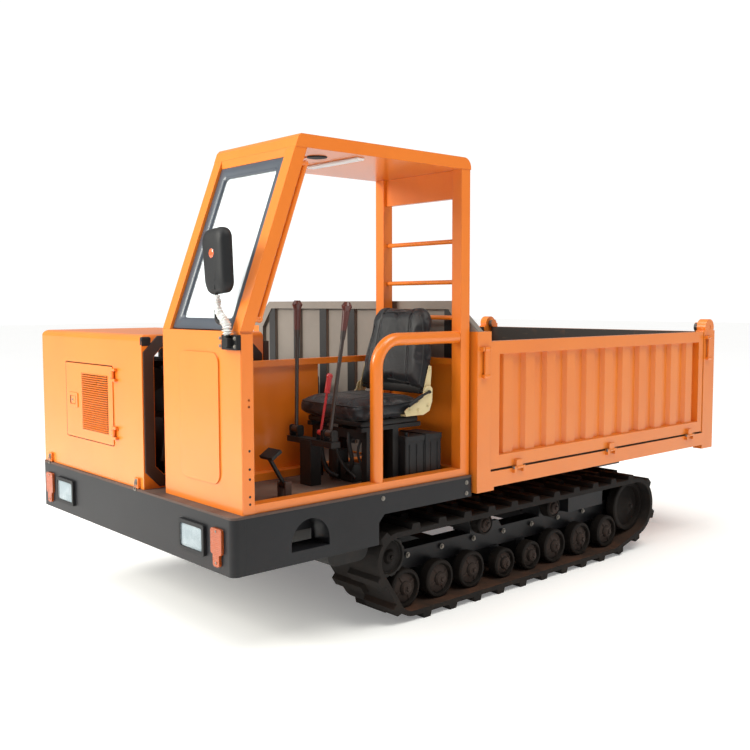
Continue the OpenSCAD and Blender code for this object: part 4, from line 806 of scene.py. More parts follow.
def shrink(outline: Sequence[tuple[float, float]], by: float) -> list[tuple[float, float]]:
    """Moves each corner of a closed outline inwards along its bisector.

    Args:
        outline: Points of the outline.
        by: Distance inwards; a negative one grows the outline.

    Returns:
        The moved points.
    """
    area = sum(a[0] * b[1] - b[0] * a[1] for a, b in zip(outline, list(outline[1:]) + [outline[0]]))
    sign = 1.0 if area > 0 else -1.0
    moved = []
    n = len(outline)
    for k, (x, y) in enumerate(outline):
        before, after = Vector(outline[k - 1]), Vector(outline[(k + 1) % n])
        here = Vector((x, y))
        a, b = (here - before).normalized(), (after - here).normalized()
        normal = Vector((-a.y, a.x)) + Vector((-b.y, b.x))
        if normal.length < 1e-6:
            normal = Vector((-a.y, a.x))
        normal.normalize()
        stretch = max(0.4, normal.dot(Vector((-a.y, a.x))))
        moved.append((x + sign * normal.x * by / stretch, y + sign * normal.y * by / stretch))
    return moved


def smooth_path(knots: Sequence[Sequence[float]], steps: int = 8) -> list[Vector]:
    """Smooth curve through knots.

    Args:
        knots: Points that the curve passes through.
        steps: Spans between two knots.

    Returns:
        Points along a Catmull-Rom curve.
    """
    pts = [Vector(k) for k in knots]
    pts = [pts[0] * 2 - pts[1], *pts, pts[-1] * 2 - pts[-2]]
    path = []
    for k in range(1, len(pts) - 2):
        p0, p1, p2, p3 = pts[k - 1 : k + 3]
        for j in range(steps):
            t = j / steps
            path.append(0.5 * (2 * p1 + (p2 - p0) * t + (2 * p0 - 5 * p1 + 4 * p2 - p3) * t * t
                               + (3 * p1 - p0 - 3 * p2 + p3) * t ** 3))
    path.append(pts[-2])
    return path


def upright_y(y: float, sign: float = -1.0) -> Placer:
    """Placer for outlines drawn in (x, z) on a face at y; heights run along sign times Y."""
    return lambda u, v, h: Vector((u, y + sign * h, v))


def upright_x(x: float, sign: float = 1.0) -> Placer:
    """Placer for outlines drawn in (y, z) on a face at x; heights run along sign times X."""
    return lambda u, v, h: Vector((x + sign * h, u, v))


# ---------------------------------------------------------------- sub-assemblies


@dataclass
class Undercarriage:
    """Wheel hubs, the belts' drive horns and the tracks' bolts."""

    # Depth of each kind of wheel's dish, by the first letter of its name.
    DISH = {"r": 0.018, "c": 0.008, "i": 0.026, "s": 0.012}

    palette: Palette
    horn_pitch: float = 0.090
    horn_height: float = 0.017
    horn_offset: float = 0.034
    disc_face: float = 0.139
    beam_half: float = 0.048
    bolt_z: float = 0.272
    bolt_count: int = 7

    def wheel_names(self, side: Side) -> list[str]:
        """Names of the wheels of one track."""
        rollers = [f"roller_{side.word}_{k}" for k in range(1, 9)]
        carriers = [f"carrier_{side.word}_{k}" for k in (1, 2)]
        return [*rollers, *carriers, f"idler_{side.word}", f"sprocket_{side.word}"]

    def hub(self, name: str) -> None:
        """Coned hub with ribs and an axle bolt on both faces of a wheel.

        Args:
            name: Name of the wheel's node and body.
        """
        lo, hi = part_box(name)
        centre = (lo + hi) / 2
        radius = (hi.z - lo.z) / 2
        work = Workpiece()
        dish = self.DISH[name[0]]
        rim = radius * 0.8
        for sign in (1.0, -1.0):
            axis = Vector((sign, 0, 0))
            face = Vector((centre.x + sign * self.disc_face, centre.y, centre.z))
            web = -dish + 0.0006
            cone = radius * 0.36 if radius > 0.07 else radius * 0.44
            work.lathe(face, axis,
                       [(rim - 0.006, web), (rim - 0.009, web + 0.002), (cone + 0.016, web + 0.003),
                        (cone, web + dish * 0.55), (0.030, 0.004), (0.026, 0.010), (0.019, 0.012)], 32)
            work.bolt(face + axis * 0.010, axis, 0.013)
            for k in range(4 if name[0] == "r" else 0):
                turn = Matrix.Rotation(TAU * k / 4 + 0.5, 3, "X")
                a, b = turn @ Vector((0, 0.034, 0)), turn @ Vector((0, rim - 0.008, 0))
                work.tube([face + a + axis * (web + dish * 0.45), face + b + axis * (web + 0.002)],
                          [0.006, 0.004], 8)
        finish = "hub_rust" if name[0] in "rc" else "rim_iron"
        work.piece(f"hub_{name}", self.palette[finish], name)

    def belt_path(self, side: Side) -> list[tuple[Vector, Vector]]:
        """Points and outward normals along a belt's inner face.

        Args:
            side: The machine's side.

        Returns:
            Pairs of a point in the YZ plane and a normal, a horn pitch apart.
        """
        circles = []
        for name in (f"roller_{side.word}_1", f"roller_{side.word}_8", f"idler_{side.word}",
                     f"sprocket_{side.word}"):
            lo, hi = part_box(name)
            circles.append((Vector(((lo.y + hi.y) / 2, (lo.z + hi.z) / 2)), (hi.z - lo.z) / 2 + 0.0005))
        n = len(circles)
        spans = []
        for k in range(n):
            (a, ra), (b, rb) = circles[k], circles[(k + 1) % n]
            d = b - a
            spans.append(math.atan2(d.y, d.x) - math.pi / 2 + math.asin((ra - rb) / d.length))
        dense: list[tuple[Vector, Vector]] = []
        for k in range(n):
            centre, radius = circles[k]
            start, sweep = spans[k - 1], (spans[k] - spans[k - 1]) % TAU
            for j in range(25):
                angle = start + sweep * j / 24
                out = Vector((math.cos(angle), math.sin(angle)))
                dense.append((centre + out * radius, out))
        dense.append(dense[0])
        placed, carry = [], 0.0
        for (p, np_), (q, nq) in zip(dense, dense[1:]):
            length = (q - p).length
            while carry < length:
                share = carry / length
                placed.append((p.lerp(q, share), np_.lerp(nq, share).normalized()))
                carry += self.horn_pitch
            carry -= length
        return placed

    def horns(self, side: Side) -> None:
        """Two rows of drive horns inside a belt."""
        lo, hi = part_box(f"belt_{side.word}")
        middle = (lo.x + hi.x) / 2
        work = Workpiece()
        for point, out in self.belt_path(side):
            along = Vector((-out.y, out.x))
            for offset in (-self.horn_offset, self.horn_offset):
                rings = []
                for depth, half_l, half_w in ((-0.001, 0.022, 0.018), (self.horn_height * 0.8, 0.013, 0.012),
                                              (self.horn_height, 0.010, 0.009)):
                    base = point - out * depth
                    ring = []
                    for sx, sy in ((-1, -1), (1, -1), (1, 1), (-1, 1)):
                        corner = base + along * sy * half_l
                        ring.append(Vector((middle + offset + sx * half_w, corner.x, corner.y)))
                    rings.append(ring)
                work.loft(rings)
        work.piece(f"belt_horns_{side.word}", self.palette["tread_rubber"], "base")

    def build(self) -> None:
        """Makes the pieces of both tracks."""
        for side in Side:
            for name in self.wheel_names(side):
                self.hub(name)
            self.horns(side)
            work = Workpiece()
            lo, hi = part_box(f"track_frame_{side.word}")
            face = (lo.x + hi.x) / 2 + side.value * self.beam_half
            for k in range(self.bolt_count):
                y = lo.y + (hi.y - lo.y) * (0.12 + 0.115 * k)
                work.bolt(Vector((face, y, self.bolt_z)), side.outward, 0.009)
            work.piece(f"frame_bolts_{side.word}", self.palette["zinc_bolt"], "base")


@dataclass
class FrontLamps:
    """Glass, bowls and bulbs of the lamps in the bumper."""

    # Share of the full size and depth behind the front, from the rim inwards.
    BOWL = ((1.0, 0.010), (0.97, 0.011), (0.8, 0.026), (0.55, 0.036), (0.25, 0.0425), (0.08, 0.0435))
    LENS = ((0.985, 0.0085), (1.0, 0.0065), (1.0, 0.0045), (0.97, 0.0025), (0.7, 0.0008), (0.3, 0.0002))
    # Radius and height of turned pieces.
    BULB = ((0.009, 0.0), (0.009, 0.008), (0.006, 0.012), (0.0065, 0.02), (0.004, 0.025), (0.001, 0.0262))
    SCREW = ((0.005, 0.0), (0.0048, 0.0016), (0.003, 0.0026), (0.0006, 0.003))

    palette: Palette
    rim: float = 0.016
    width: float = 0.202
    bulb_depth: float = 0.043
    lens_corner: float = 0.012
    screw_inset: float = 0.040

    @staticmethod
    def dished(mid: Vector, half: tuple[float, float], profile: Sequence[tuple[float, float]],
               corner: float) -> list[list[Vector]]:
        """Rings of a rounded rectangle that narrows with depth.

        Args:
            mid: Centre of the lamp's front.
            half: Half the width and half the height.
            profile: Share of the full size and depth of each ring.
            corner: Radius of the full size's corners.

        Returns:
            One ring of points for each row of the profile.
        """
        rings = []
        for share, depth in profile:
            reach = (half[0] * share, half[1] * share)
            loop = rounded_loop((-reach[0], -reach[1]), reach, corner * share)
            rings.append([mid + Vector((u, depth, v)) for u, v in loop])
        return rings

    def build(self) -> None:
        """Makes the lamps of both sides."""
        lo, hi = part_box("headlamps")
        for side in Side:
            x1 = hi.x if side is Side.LEFT else lo.x + self.width
            a = (x1 - self.width + self.rim, lo.z + self.rim)
            b = (x1 - self.rim, hi.z - self.rim)
            mid = Vector(((a[0] + b[0]) / 2, lo.y, (a[1] + b[1]) / 2))
            half = ((b[0] - a[0]) / 2, (b[1] - a[1]) / 2)
            bowl = Workpiece()
            bowl.loft(self.dished(mid, half, self.BOWL, min(half) * 0.35), (False, True))
            bowl.piece(f"lamp_bowl_{side.word}", self.palette["reflector_bowl"], "base")
            bulb = Workpiece()
            bulb.lathe(mid - FORWARD * self.bulb_depth, FORWARD, self.BULB, 20)
            bulb.piece(f"lamp_bulb_{side.word}", self.palette["roof_lamp"], "base")
            lens = Workpiece()
            lens.loft(self.dished(mid, half, self.LENS, self.lens_corner))
            lens.piece(f"lamp_lens_{side.word}", self.palette["fluted_lens"], "base")
            screws = Workpiece()
            slo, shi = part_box("signal_lamps")
            outer = shi.x - self.screw_inset if side is Side.LEFT else slo.x + self.screw_inset
            for z in (shi.z - 0.012, slo.z + 0.016):
                screws.lathe(Vector((outer, slo.y, z)), FORWARD, self.SCREW, 14)
            screws.piece(f"signal_screws_{side.word}", self.palette["zinc_bolt"], "base")


@dataclass
class EngineHood:
    """Band of painted shade, corner cap, latch and screws of the hood, and hoses inside it."""

    # Lower corner, upper corner and corner radius of the door latch's parts, seen from the front.
    LATCH_HOLE = ((-0.565, 0.983), (-0.510, 1.026), 0.006)
    LATCH_RIM = ((-0.572, 0.976), (-0.503, 1.033), 0.009)
    LATCH_PULL = ((-0.563, 0.985), (-0.512, 1.024), 0.006)
    # X and Z of both ends of the dark gaps beside, below and above the door.
    GAPS = ((-0.6305, 0.815, -0.6245, 1.193), (-0.624, 0.8130, -0.110, 0.8145),
            (-0.624, 1.1935, -0.110, 1.1950))
    # Radius and height of turned pieces.
    KEY = ((0.007, 0), (0.007, 0.0015), (0.0055, 0.0022), (0.002, 0.0018))
    SCREW = ((0.0042, 0), (0.004, 0.001), (0.002, 0.0016))

    palette: Palette
    border: float = 0.052
    opening_front: float = -1.745
    opening_rear: float = -1.210
    opening_sill: float = 0.710
    chamfer: float = 0.04
    gusset: float = 0.070
    door_face: float = -1.809
    hinge_screw_x: float = -0.118
    hinge_screws_z: tuple[float, ...] = (0.868, 0.888, 1.138, 1.158)
    catches_x: tuple[float, float] = (-0.835, 0.128)

    def trim(self) -> None:
        """Dark brown band of painted shade round the opening in the hood's side, its brown a painted orange
        reflection.
        """
        _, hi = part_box("engine_hood")
        y0, y1 = self.opening_front, self.opening_rear
        z0, z1 = self.opening_sill, hi.z - 0.060
        inner = [(y0 + self.chamfer, z0), (y1, z0), (y1, z1 - self.gusset), (y1 - self.gusset, z1),
                 (y0 + self.chamfer, z1), (y0, z1 - self.chamfer), (y0, z0 + self.chamfer)]
        inner = shrink(inner, -0.002)
        outer = shrink(inner, -self.border)
        # The band is a raised sheet of painted shade over the opening's border.
        work = Workpiece()
        place = upright_x(hi.x)
        work.loft([[place(u, v, 0.0004) for u, v in inner],
                   [place(u, v, 0.004) for u, v in shrink(inner, -0.003)],
                   [place(u, v, 0.004) for u, v in shrink(outer, 0.003)],
                   [place(u, v, 0.0004) for u, v in outer]], round_again=True)
        work.piece("hood_side_trim", self.palette["hood_trim"], "hood")
        cap = Workpiece()
        cap.block((hi.x - 0.018, -1.8055, hi.z - 0.052), (hi.x + 0.003, -1.758, hi.z - 0.010), 0.006)
        cap.piece("hood_corner_cap", self.palette["grained_plastic"], "hood")

    def door(self) -> None:
        """Latch pull, key cylinder and hinge screws of the hood's door."""
        face = self.door_face
        seam = Workpiece()
        for x0, z0, x1, z1 in self.GAPS:
            seam.block((x0, -1.8068, z0), (x1, -1.8045, z1), 0.0006)
        seam.piece("door_seam", self.palette["panel_hole"], "hood")
        bezel = Workpiece()
        ring_in, ring_out = rounded_loop(*self.LATCH_HOLE), rounded_loop(*self.LATCH_RIM)
        place = upright_y(face)
        bezel.loft([[place(u, v, 0.0002) for u, v in ring_in], [place(u, v, 0.0018) for u, v in ring_in],
                    [place(u, v, 0.0018) for u, v in shrink(ring_out, 0.001)],
                    [place(u, v, 0.0002) for u, v in ring_out]], round_again=True)
        bezel.piece("door_latch_bezel", self.palette["panel_hole"], "hood_door")
        pull = Workpiece()
        pull.plate(rounded_loop(*self.LATCH_PULL), place, -0.002, 0.0025)
        pull.piece("door_latch_pull", self.palette["orange_gloss"], "hood_door")
        key = Workpiece()
        key.lathe(Vector((-0.545, face - 0.0025, 1.004)), FORWARD, self.KEY, 20)
        for z in self.hinge_screws_z:
            key.lathe(Vector((self.hinge_screw_x, face - 0.0028, z)), FORWARD, self.SCREW, 12)
        key.piece("door_key_screws", self.palette["zinc_bolt"], "hood_door")

    def catches(self) -> None:
        """Draw latches on the hood's lower front edge."""
        work = Workpiece()
        hook = ((-1.818, 0.690), (-1.822, 0.668), (-1.8235, 0.645))
        for x in self.catches_x:
            work.block((x - 0.011, -1.8185, 0.668), (x + 0.011, -1.815, 0.694), 0.0015)
            knots = [(x - 0.008, y, z) for y, z in hook] + [(x + 0.008, y, z) for y, z in reversed(hook)]
            work.tube(smooth_path(knots, 5), 0.0022, 8)
        work.piece("hood_catches", self.palette["zinc_bolt"], "base")

    def hoses(self) -> None:
        """Hoses, a filler cap and cables that show through the side opening."""
        work = Workpiece()
        runs = [
            ([(0.10, -1.66, 1.20), (0.13, -1.60, 1.08), (0.12, -1.52, 0.98), (0.05, -1.46, 0.93)], 0.016),
            ([(0.08, -1.30, 1.22), (0.135, -1.38, 1.16), (0.14, -1.50, 1.14), (0.09, -1.62, 1.10)], 0.019),
            ([(0.125, -1.26, 0.80), (0.14, -1.36, 0.78), (0.13, -1.50, 0.80), (0.10, -1.60, 0.90)], 0.013),
            ([(0.12, -1.68, 0.76), (0.135, -1.66, 0.95), (0.12, -1.63, 1.12), (0.06, -1.60, 1.22)], 0.010),
        ]
        for knots, radius in runs:
            work.tube(smooth_path(knots), radius, 12)
        work.piece("engine_hoses", self.palette["hose_rubber"], "base")
        bits = Workpiece()
        nuts = [
            ((0.128, -1.64, 0.90), (1, -0.3, 0.2), 0.011),
            ((0.135, -1.50, 1.02), (1, 0, 0), 0.013),
            ((0.125, -1.42, 0.88), (1, -0.5, 0.5), 0.012),
            ((0.135, -1.35, 1.19), (1, 0, 0.4), 0.010),
        ]
        for at, axis, size in nuts:
            bits.bolt(Vector(at), Vector(axis), size)
        pipes = [
            [(0.132, -1.66, 1.02), (0.142, -1.61, 0.99), (0.140, -1.55, 1.00)],
            [(0.13, -1.60, 0.84), (0.142, -1.54, 0.85), (0.138, -1.47, 0.82)],
        ]
        for knots in pipes:
            bits.tube(smooth_path(knots), 0.004, 8)
        bits.piece("engine_fittings", self.palette["zinc_bolt"], "base")

    def build(self) -> None:
        """Makes every piece of the hood."""
        self.trim()
        self.door()
        self.catches()
        self.hoses()


@dataclass
class Cab:
    """Screen seal, mirror, a white strip of painted light under the roof and the cab's small fittings."""

    # Share of the mirror's outline and share of its half depth, from the glass side's back to the rim.
    SHELL = ((0.30, -1.0), (0.62, -0.97), (0.84, -0.84), (0.95, -0.55), (1.0, -0.1),
             (1.0, 0.45), (0.985, 0.85), (0.96, 1.0), (0.90, 0.99), (0.885, 0.80))
    # How far the mirror's arm has moved aside and down at each knot.
    ARM = ((0.0, 0.004), (0.004, 0.040), (0.024, 0.076), (0.056, 0.104), (0.074, 0.128), (0.077, 0.160))
    # Half width, lower and upper drop below the mirror's middle, and set-back of its two covers.
    COVERS = ((0.026, 0.078, 0.044, 0.004), (0.018, 0.112, 0.092, 0.006))
    # Radius and height of turned pieces.
    DISC = ((0.0185, -0.002), (0.0185, 0.0005), (0.0165, 0.002), (0.008, 0.0028), (0.002, 0.003))
    HOLE = ((0.0055, 0.0), (0.0052, 0.0008), (0.003, 0.001))
    VENT = ((0.045, 0.0), (0.044, 0.004), (0.034, 0.006), (0.012, 0.0045))

    palette: Palette
    seal_width: float = 0.052
    slope_run: float = 0.295
    slope_rise: float = 0.794
    cab_y0: float = -1.764
    waist_z: float = 1.376
    holes_z: tuple[float, ...] = (0.692, 0.722, 0.792, 0.832, 0.905)
    clamp_bolts_z: tuple[float, float] = (1.318, 1.349)
    step_bolts_yz: tuple[tuple[float, float], ...] = ((-0.485, 0.618), (-0.485, 0.566), (-1.030, 0.618))

    def screen_y(self, z: float) -> float:
        """Front face of the screen pillars at a height."""
        return self.cab_y0 + self.slope_run * (z - self.waist_z) / self.slope_rise

    def seal(self) -> None:
        """Rubber seal round the windscreen's pane."""
        lo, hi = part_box("windscreen")
        slope = Vector((0, self.slope_run, self.slope_rise)).normalized()
        out = Vector((0, -slope.z, slope.y))
        z0 = lo.z - 0.001
        origin = Vector((0, self.screen_y(z0) + 0.024, z0))
        length = (hi.z - z0) / slope.z
        wide = self.seal_width
        profile = [(0.0, -0.012), (0.0, 0.008), (0.006, 0.012), (wide - 0.012, 0.011), (wide - 0.003, 0.006),
                   (wide, 0.0006), (wide - 0.004, -0.009), (wide - 0.02, -0.012)]
        rings = []
        for inset, height in profile:
            loop = rounded_loop((lo.x + inset, inset), (hi.x - inset, length - inset),
                                max(0.004, inset * 0.35), 4)
            rings.append([Vector((u, 0, 0)) + origin + slope * v + out * height for u, v in loop])
        work = Workpiece()
        work.loft(rings, round_again=True)
        work.piece("windscreen_seal", self.palette["screen_seal"], "base")

    def mirror(self) -> None:
        """Moulded mirror shell with its glass, reflector and wrapped arm."""
        lo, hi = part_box("mirror_head")
        mid = (lo + hi) / 2
        half = (hi - lo) / 2
        shell = Workpiece()

        def lean(u: float, v: float) -> tuple[float, float]:
            """Tapers a point of the outline and tips it sideways."""
            tapered = u * (1.0 - 0.10 * (0.5 - v / (2 * half.z))) * 0.93
            angle = math.radians(5.0)
            across = tapered * math.cos(angle) - v * math.sin(angle)
            return across, tapered * math.sin(angle) + v * math.cos(angle) * 0.985

        def tipped(width: float, height: float, radius: float) -> list[tuple[float, float]]:
            """Leaning rounded outline, its size given as shares of the mirror's."""
            reach = (half.x * width, half.z * height)
            return [lean(u, v) for u, v in rounded_loop((-reach[0], -reach[1]), reach, radius, 8)]
        rings = []
        for share, depth in self.SHELL:
            loop = tipped(share, share, 0.040 * share + 0.004)
            rings.append([Vector((mid.x + u, mid.y + depth * half.y, mid.z + v)) for u, v in loop])
        shell.loft(rings)
        made = shell.piece("mirror_shell", self.palette["grained_plastic"], "mirror_head", 50)
        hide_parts("mirror_head")
        glass = Workpiece()
        loop = [(u + mid.x, v + mid.z) for u, v in tipped(0.87, 0.88, 0.034)]
        glass.plate(loop, upright_y(mid.y, 1.0), half.y * 0.80, half.y * 0.92)
        glass.piece("mirror_glass", self.palette["mirror_silver"], "mirror_head")
        disc = Workpiece()
        front = Vector((mid.x, lo.y + 0.0012, mid.z + 0.030))
        disc.lathe(front, FORWARD, self.DISC, 28)
        disc.piece("mirror_reflector", self.palette["reflector_orange"], "mirror_head")
        vent = Workpiece()
        for half_w, low, high, back in self.COVERS:
            loop = rounded_loop((mid.x - half_w, mid.z - low), (mid.x + half_w, mid.z - high), 0.004)
            vent.plate(loop, upright_y(lo.y + back), -0.001, 0.0042)
        vent.piece("mirror_back_covers", self.palette["grained_plastic"], "mirror_head")
        wrap = Workpiece()
        path = smooth_path([(mid.x + aside, mid.y - 0.006, lo.z - drop) for aside, drop in self.ARM], 10)
        radii = [0.015 + 0.0035 * math.sin(k * 1.9) + 0.002 * math.sin(k * 4.3 + 1.0)
                 for k in range(len(path))]
        wrap.tube(path, radii, 16)
        wrap.points = [point + noise.noise_vector(point * 55.0) * 0.0045 for point in wrap.points]
        wrap.piece("mirror_arm_wrap", self.palette["wrap_film"], "base", 25)

    def fittings(self) -> None:
        """Bolts, holes and the white strip of painted light under the cab's roof."""
        _, panel_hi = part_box("cab_front_panel")
        holes = Workpiece()
        for z in self.holes_z:
            at = Vector((panel_hi.x - 0.0002, self.cab_y0 + 0.034, z))
            holes.lathe(at, Side.LEFT.outward, self.HOLE, 16)
        holes.piece("panel_holes", self.palette["panel_hole"], "base")
        bolts = Workpiece()
        clamp_lo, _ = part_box("mirror_bracket")
        for x in (clamp_lo.x + 0.016, 0.900):
            for z in self.clamp_bolts_z:
                bolts.bolt(Vector((x, self.cab_y0 - 0.0198, z)), FORWARD, 0.0052)
        _, skirt_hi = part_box("bumper_skirt")
        for y, z in self.step_bolts_yz:
            for side in Side:
                bolts.bolt(Vector((side.value * skirt_hi.x, y, z)), side.outward, 0.007)
        bolts.piece("cab_bolts", self.palette["zinc_bolt"], "base")
        # White strip under the roof: painted light where light shows through the gap between the roof panels,
        # not a lamp.
        lamp = Workpiece()
        lamp.block((0.50, -1.122, 2.1035), (0.86, -1.076, 2.1148), 0.004)
        lamp.piece("roof_lamp", self.palette["roof_lamp"], "base")
        vent = Workpiece()
        vent.lathe(Vector((0.745, -1.25, 2.1152)), DOWN, self.VENT, 28)
        vent.piece("roof_vent", self.palette["grained_plastic"], "base")

    def build(self) -> None:
        """Makes every piece of the cab."""
        self.seal()
        self.mirror()
        self.fittings()


@dataclass
class DriverSeat:
    """Stuffed cushion and backrest with piping, brackets and the pan."""

    palette: Palette
    middle: float = 0.6005
    front: float = -1.086
    rear: float = -0.682
    half: float = 0.218
    low: float = 0.950
    high: float = 1.034
    back_height: float = 0.392
    lean: float = math.radians(10)
    pivot: Vector = field(default_factory=lambda: Vector((0.6005, -0.665, 1.065)))
    voxel: float = 0.006
    pressure: float = 4.0
    swell_frames: int = 20
    swell_cap: float = 0.020
    channel_x: float = 0.132
    channel_y: float = -0.905
    stitch_half: float = 0.006
    piping_radius: float = 0.0035

    def back_point(self, x: float, y: float, z: float) -> Vector:
        """Point given in the backrest's own upright frame."""
        return self.pivot + Matrix.Rotation(-self.lean, 3, "X") @ Vector((x, y, z))

    def sewn(self, off: float, depth: float) -> float:
        """Depth of a sewn channel at a distance from its middle."""
        return depth * math.exp(-((off / self.stitch_half) ** 2))

    @staticmethod
    def fit(made: bpy.types.Object, frame_in: Matrix, low: Vector, high: Vector) -> None:
        """Stretches a swollen pad so that it fills its own box.

        Args:
            made: The pad.
            frame_in: Turns points into the pad's own upright frame.
            low: Lowest corner of the box in that frame.
            high: Highest corner of the box in that frame.
        """
        inside = [frame_in @ v.co for v in made.data.vertices]
        back = frame_in.inverted()
        lo = Vector(min(p[k] for p in inside) for k in range(3))
        hi = Vector(max(p[k] for p in inside) for k in range(3))
        for vertex, point in zip(made.data.vertices, inside):
            share = [(point[k] - lo[k]) / (hi[k] - lo[k]) for k in range(3)]
            vertex.co = back @ Vector(low[k] + share[k] * (high[k] - low[k]) for k in range(3))
        made.data.update()

    def stuffed(self, work: Workpiece, name: str, body: str, groove: Callable[[Vector], float],
                frame_in: Matrix, low: Vector, high: Vector) -> bpy.types.Object:
        """Remeshes, inflates and grooves a closed shape.

        Args:
            work: The closed starting shape.
            name: Name of the piece.
            body: Body it rides on.
            groove: Depth of the sewn channels at a point.
            frame_in: Turns points into the pad's own upright frame.
            low: Lowest corner of the pad in that frame.
            high: Highest corner of the pad in that frame.

        Returns:
            The padded object.
        """
        made = work.piece(name, self.palette["seat_vinyl"], body, 180)
        remesh = made.modifiers.new("even", "REMESH")
        remesh.mode = "VOXEL"
        remesh.voxel_size = self.voxel
        self.apply(made)
        rest = [v.co.copy() for v in made.data.vertices]
        cloth = made.modifiers.new("swell", "CLOTH")
        cloth.settings.use_pressure = True
        cloth.settings.uniform_pressure_force = self.pressure
        cloth.settings.quality = 5
        cloth.settings.effector_weights.gravity = 0.0
        cloth.point_cache.frame_start, cloth.point_cache.frame_end = 1, self.swell_frames
        for frame in range(1, self.swell_frames + 1):
            bpy.context.scene.frame_set(frame)
        swollen = made.evaluated_get(bpy.context.evaluated_depsgraph_get()).data
        moved = [v.co.copy() for v in swollen.vertices]
        made.modifiers.remove(cloth)
        for vertex, start, end in zip(made.data.vertices, rest, moved):
            step = end - start
            capped = step if step.length <= self.swell_cap else step.normalized() * self.swell_cap
            vertex.co = start + capped
        bpy.context.scene.frame_set(1)
        made.data.update()
        even = made.modifiers.new("settle", "SMOOTH")
        even.factor, even.iterations = 0.5, 8
        self.apply(made)
        self.fit(made, frame_in, low, high)
        sub = made.modifiers.new("fine", "SUBSURF")
        sub.levels = sub.render_levels = 1
        self.apply(made)
        normals = [v.normal.copy() for v in made.data.vertices]
        for vertex, normal in zip(made.data.vertices, normals):
            crease = 0.0012 * noise.noise(vertex.co * 8.0) + 0.0005 * noise.noise(vertex.co * 26.0)
            vertex.co += normal * (crease - groove(vertex.co))
        for face in made.data.polygons:
            face.use_smooth = True
        made.data.update()
        return made

    @staticmethod
    def apply(made: bpy.types.Object) -> None:
        """Bakes an object's modifiers into its mesh."""
        evaluated = made.evaluated_get(bpy.context.evaluated_depsgraph_get())
        mesh = bpy.data.meshes.new_from_object(evaluated)
        materials = [m for m in made.data.materials]
        made.modifiers.clear()
        made.data = mesh
        if not mesh.materials:
            for material in materials:
                mesh.materials.append(material)

    def piping(self, pad: bpy.types.Object, line: Sequence[Vector], name: str, body: str) -> None:
        """Cord sewn along a line on a pad's surface.

        Args:
            pad: The pad that it lies on.
            line: Planned points near the surface.
            name: Name of the piece.
            body: Body it rides on.
        """
        tree = BVHTree.FromPolygons([v.co for v in pad.data.vertices],
                                    [p.vertices[:] for p in pad.data.polygons])
        on_skin = []
        for point in line:
            hit, normal, _, _ = tree.find_nearest(point)
            on_skin.append(hit + normal * self.piping_radius * 0.15)
        for _ in range(3):
            even = [(a + b * 2 + c) / 4 for a, b, c in zip(on_skin, on_skin[1:], on_skin[2:])]
            on_skin = [on_skin[0], *even, on_skin[-1]]
        work = Workpiece()
        work.tube(on_skin, self.piping_radius, 8)
        work.piece(name, self.palette["seat_piping"], body)

    def cushion(self) -> None:
        """Seat cushion with its sewn channels, piping, pan, recliner brackets and handle."""
        work = Workpiece()
        left, right = self.middle + self.half, self.middle - self.half
        rings = []
        for z, inset in ((self.low, 0.016), (self.low + 0.006, 0.004), (self.low + 0.020, 0.0),
                         (self.high - 0.030, 0.002), (self.high - 0.012, 0.010), (self.high, 0.030),
                         (self.high + 0.004, 0.090)):
            loop = rounded_loop((right + inset, self.front + inset + 0.006),
                                (left - inset, self.rear - inset), 0.045)
            rings.append([Vector((x, y, z)) for x, y in loop])
        work.loft(rings)

        def groove(p: Vector) -> float:
            """Depth of the two channels along the cushion and of the one across it."""
            aside = abs(p.x - self.middle)
            line = self.sewn(abs(aside - self.channel_x), 0.0055) if p.z > self.high - 0.006 else 0.0
            between = p.z > self.high - 0.004 and aside < self.channel_x
            return line + (self.sewn(p.y - self.channel_y, 0.004) if between else 0.0)
        pad = self.stuffed(work, "cushion_pad", "seat", groove, Matrix.Identity(4),
                           Vector((self.middle - 0.229, -1.087, 0.946)), Vector((self.middle + 0.229, -0.676,
                                                                                 1.052)))
        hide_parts("seat_cushion")
        loop = rounded_loop((right - 0.004, self.front - 0.002), (left + 0.004, self.rear + 0.004), 0.045, 14)
        line = [Vector((x, y, self.high - 0.010)) for x, y in loop]
        self.piping(pad, [*line, line[0]], "cushion_piping", "seat")
        metal = Workpiece()
        metal.block((self.middle - 0.198, -1.046, 0.9225), (self.middle + 0.198, -0.690, 0.949), 0.006)
        rod = [Vector((self.middle + end, self.pivot.y, self.pivot.z)) for end in (-0.252, 0.252)]
        metal.tube(rod, 0.008, 16)
        metal.piece("seat_pan", self.palette["powder_black"], "seat")
        bracket = Workpiece()
        outline = [(-0.815, 0.962), (-0.700, 0.958), (-0.660, 0.975), (-0.642, 1.020), (-0.640, 1.078),
                   (-0.652, 1.092), (-0.672, 1.094), (-0.690, 1.082), (-0.700, 1.050), (-0.735, 1.020),
                   (-0.790, 1.004), (-0.822, 0.985)]
        for side in Side:
            x = self.middle + side.value * 0.243
            bracket.plate(outline, upright_x(x, side.value), -0.003, 0.003, 0.001)
            for y, z in ((-0.790, 0.983), (-0.735, 0.983), (-0.672, 1.000)):
                bracket.bolt(Vector((x + side.value * 0.003, y, z)), side.outward, 0.006)
            x0, x1 = sorted((x, x - side.value * 0.04))
            bracket.block((x0, -0.812, 0.958), (x1, -0.700, 0.966), 0.002)
        bracket.piece("recliner_lower", self.palette["cream_bracket"], "seat")
        handle = Workpiece()
        x = self.middle + 0.256
        knots = [(x, self.pivot.y, self.pivot.z), (x + 0.004, -0.700, 1.060), (x + 0.006, -0.760, 1.036),
                 (x + 0.006, -0.812, 1.010)]
        stem, grip = [0.006] * 12, [0.009] * 13
        handle.tube(smooth_path(knots), stem + grip)
        handle.piece("recliner_handle", self.palette["grained_plastic"], "seat")

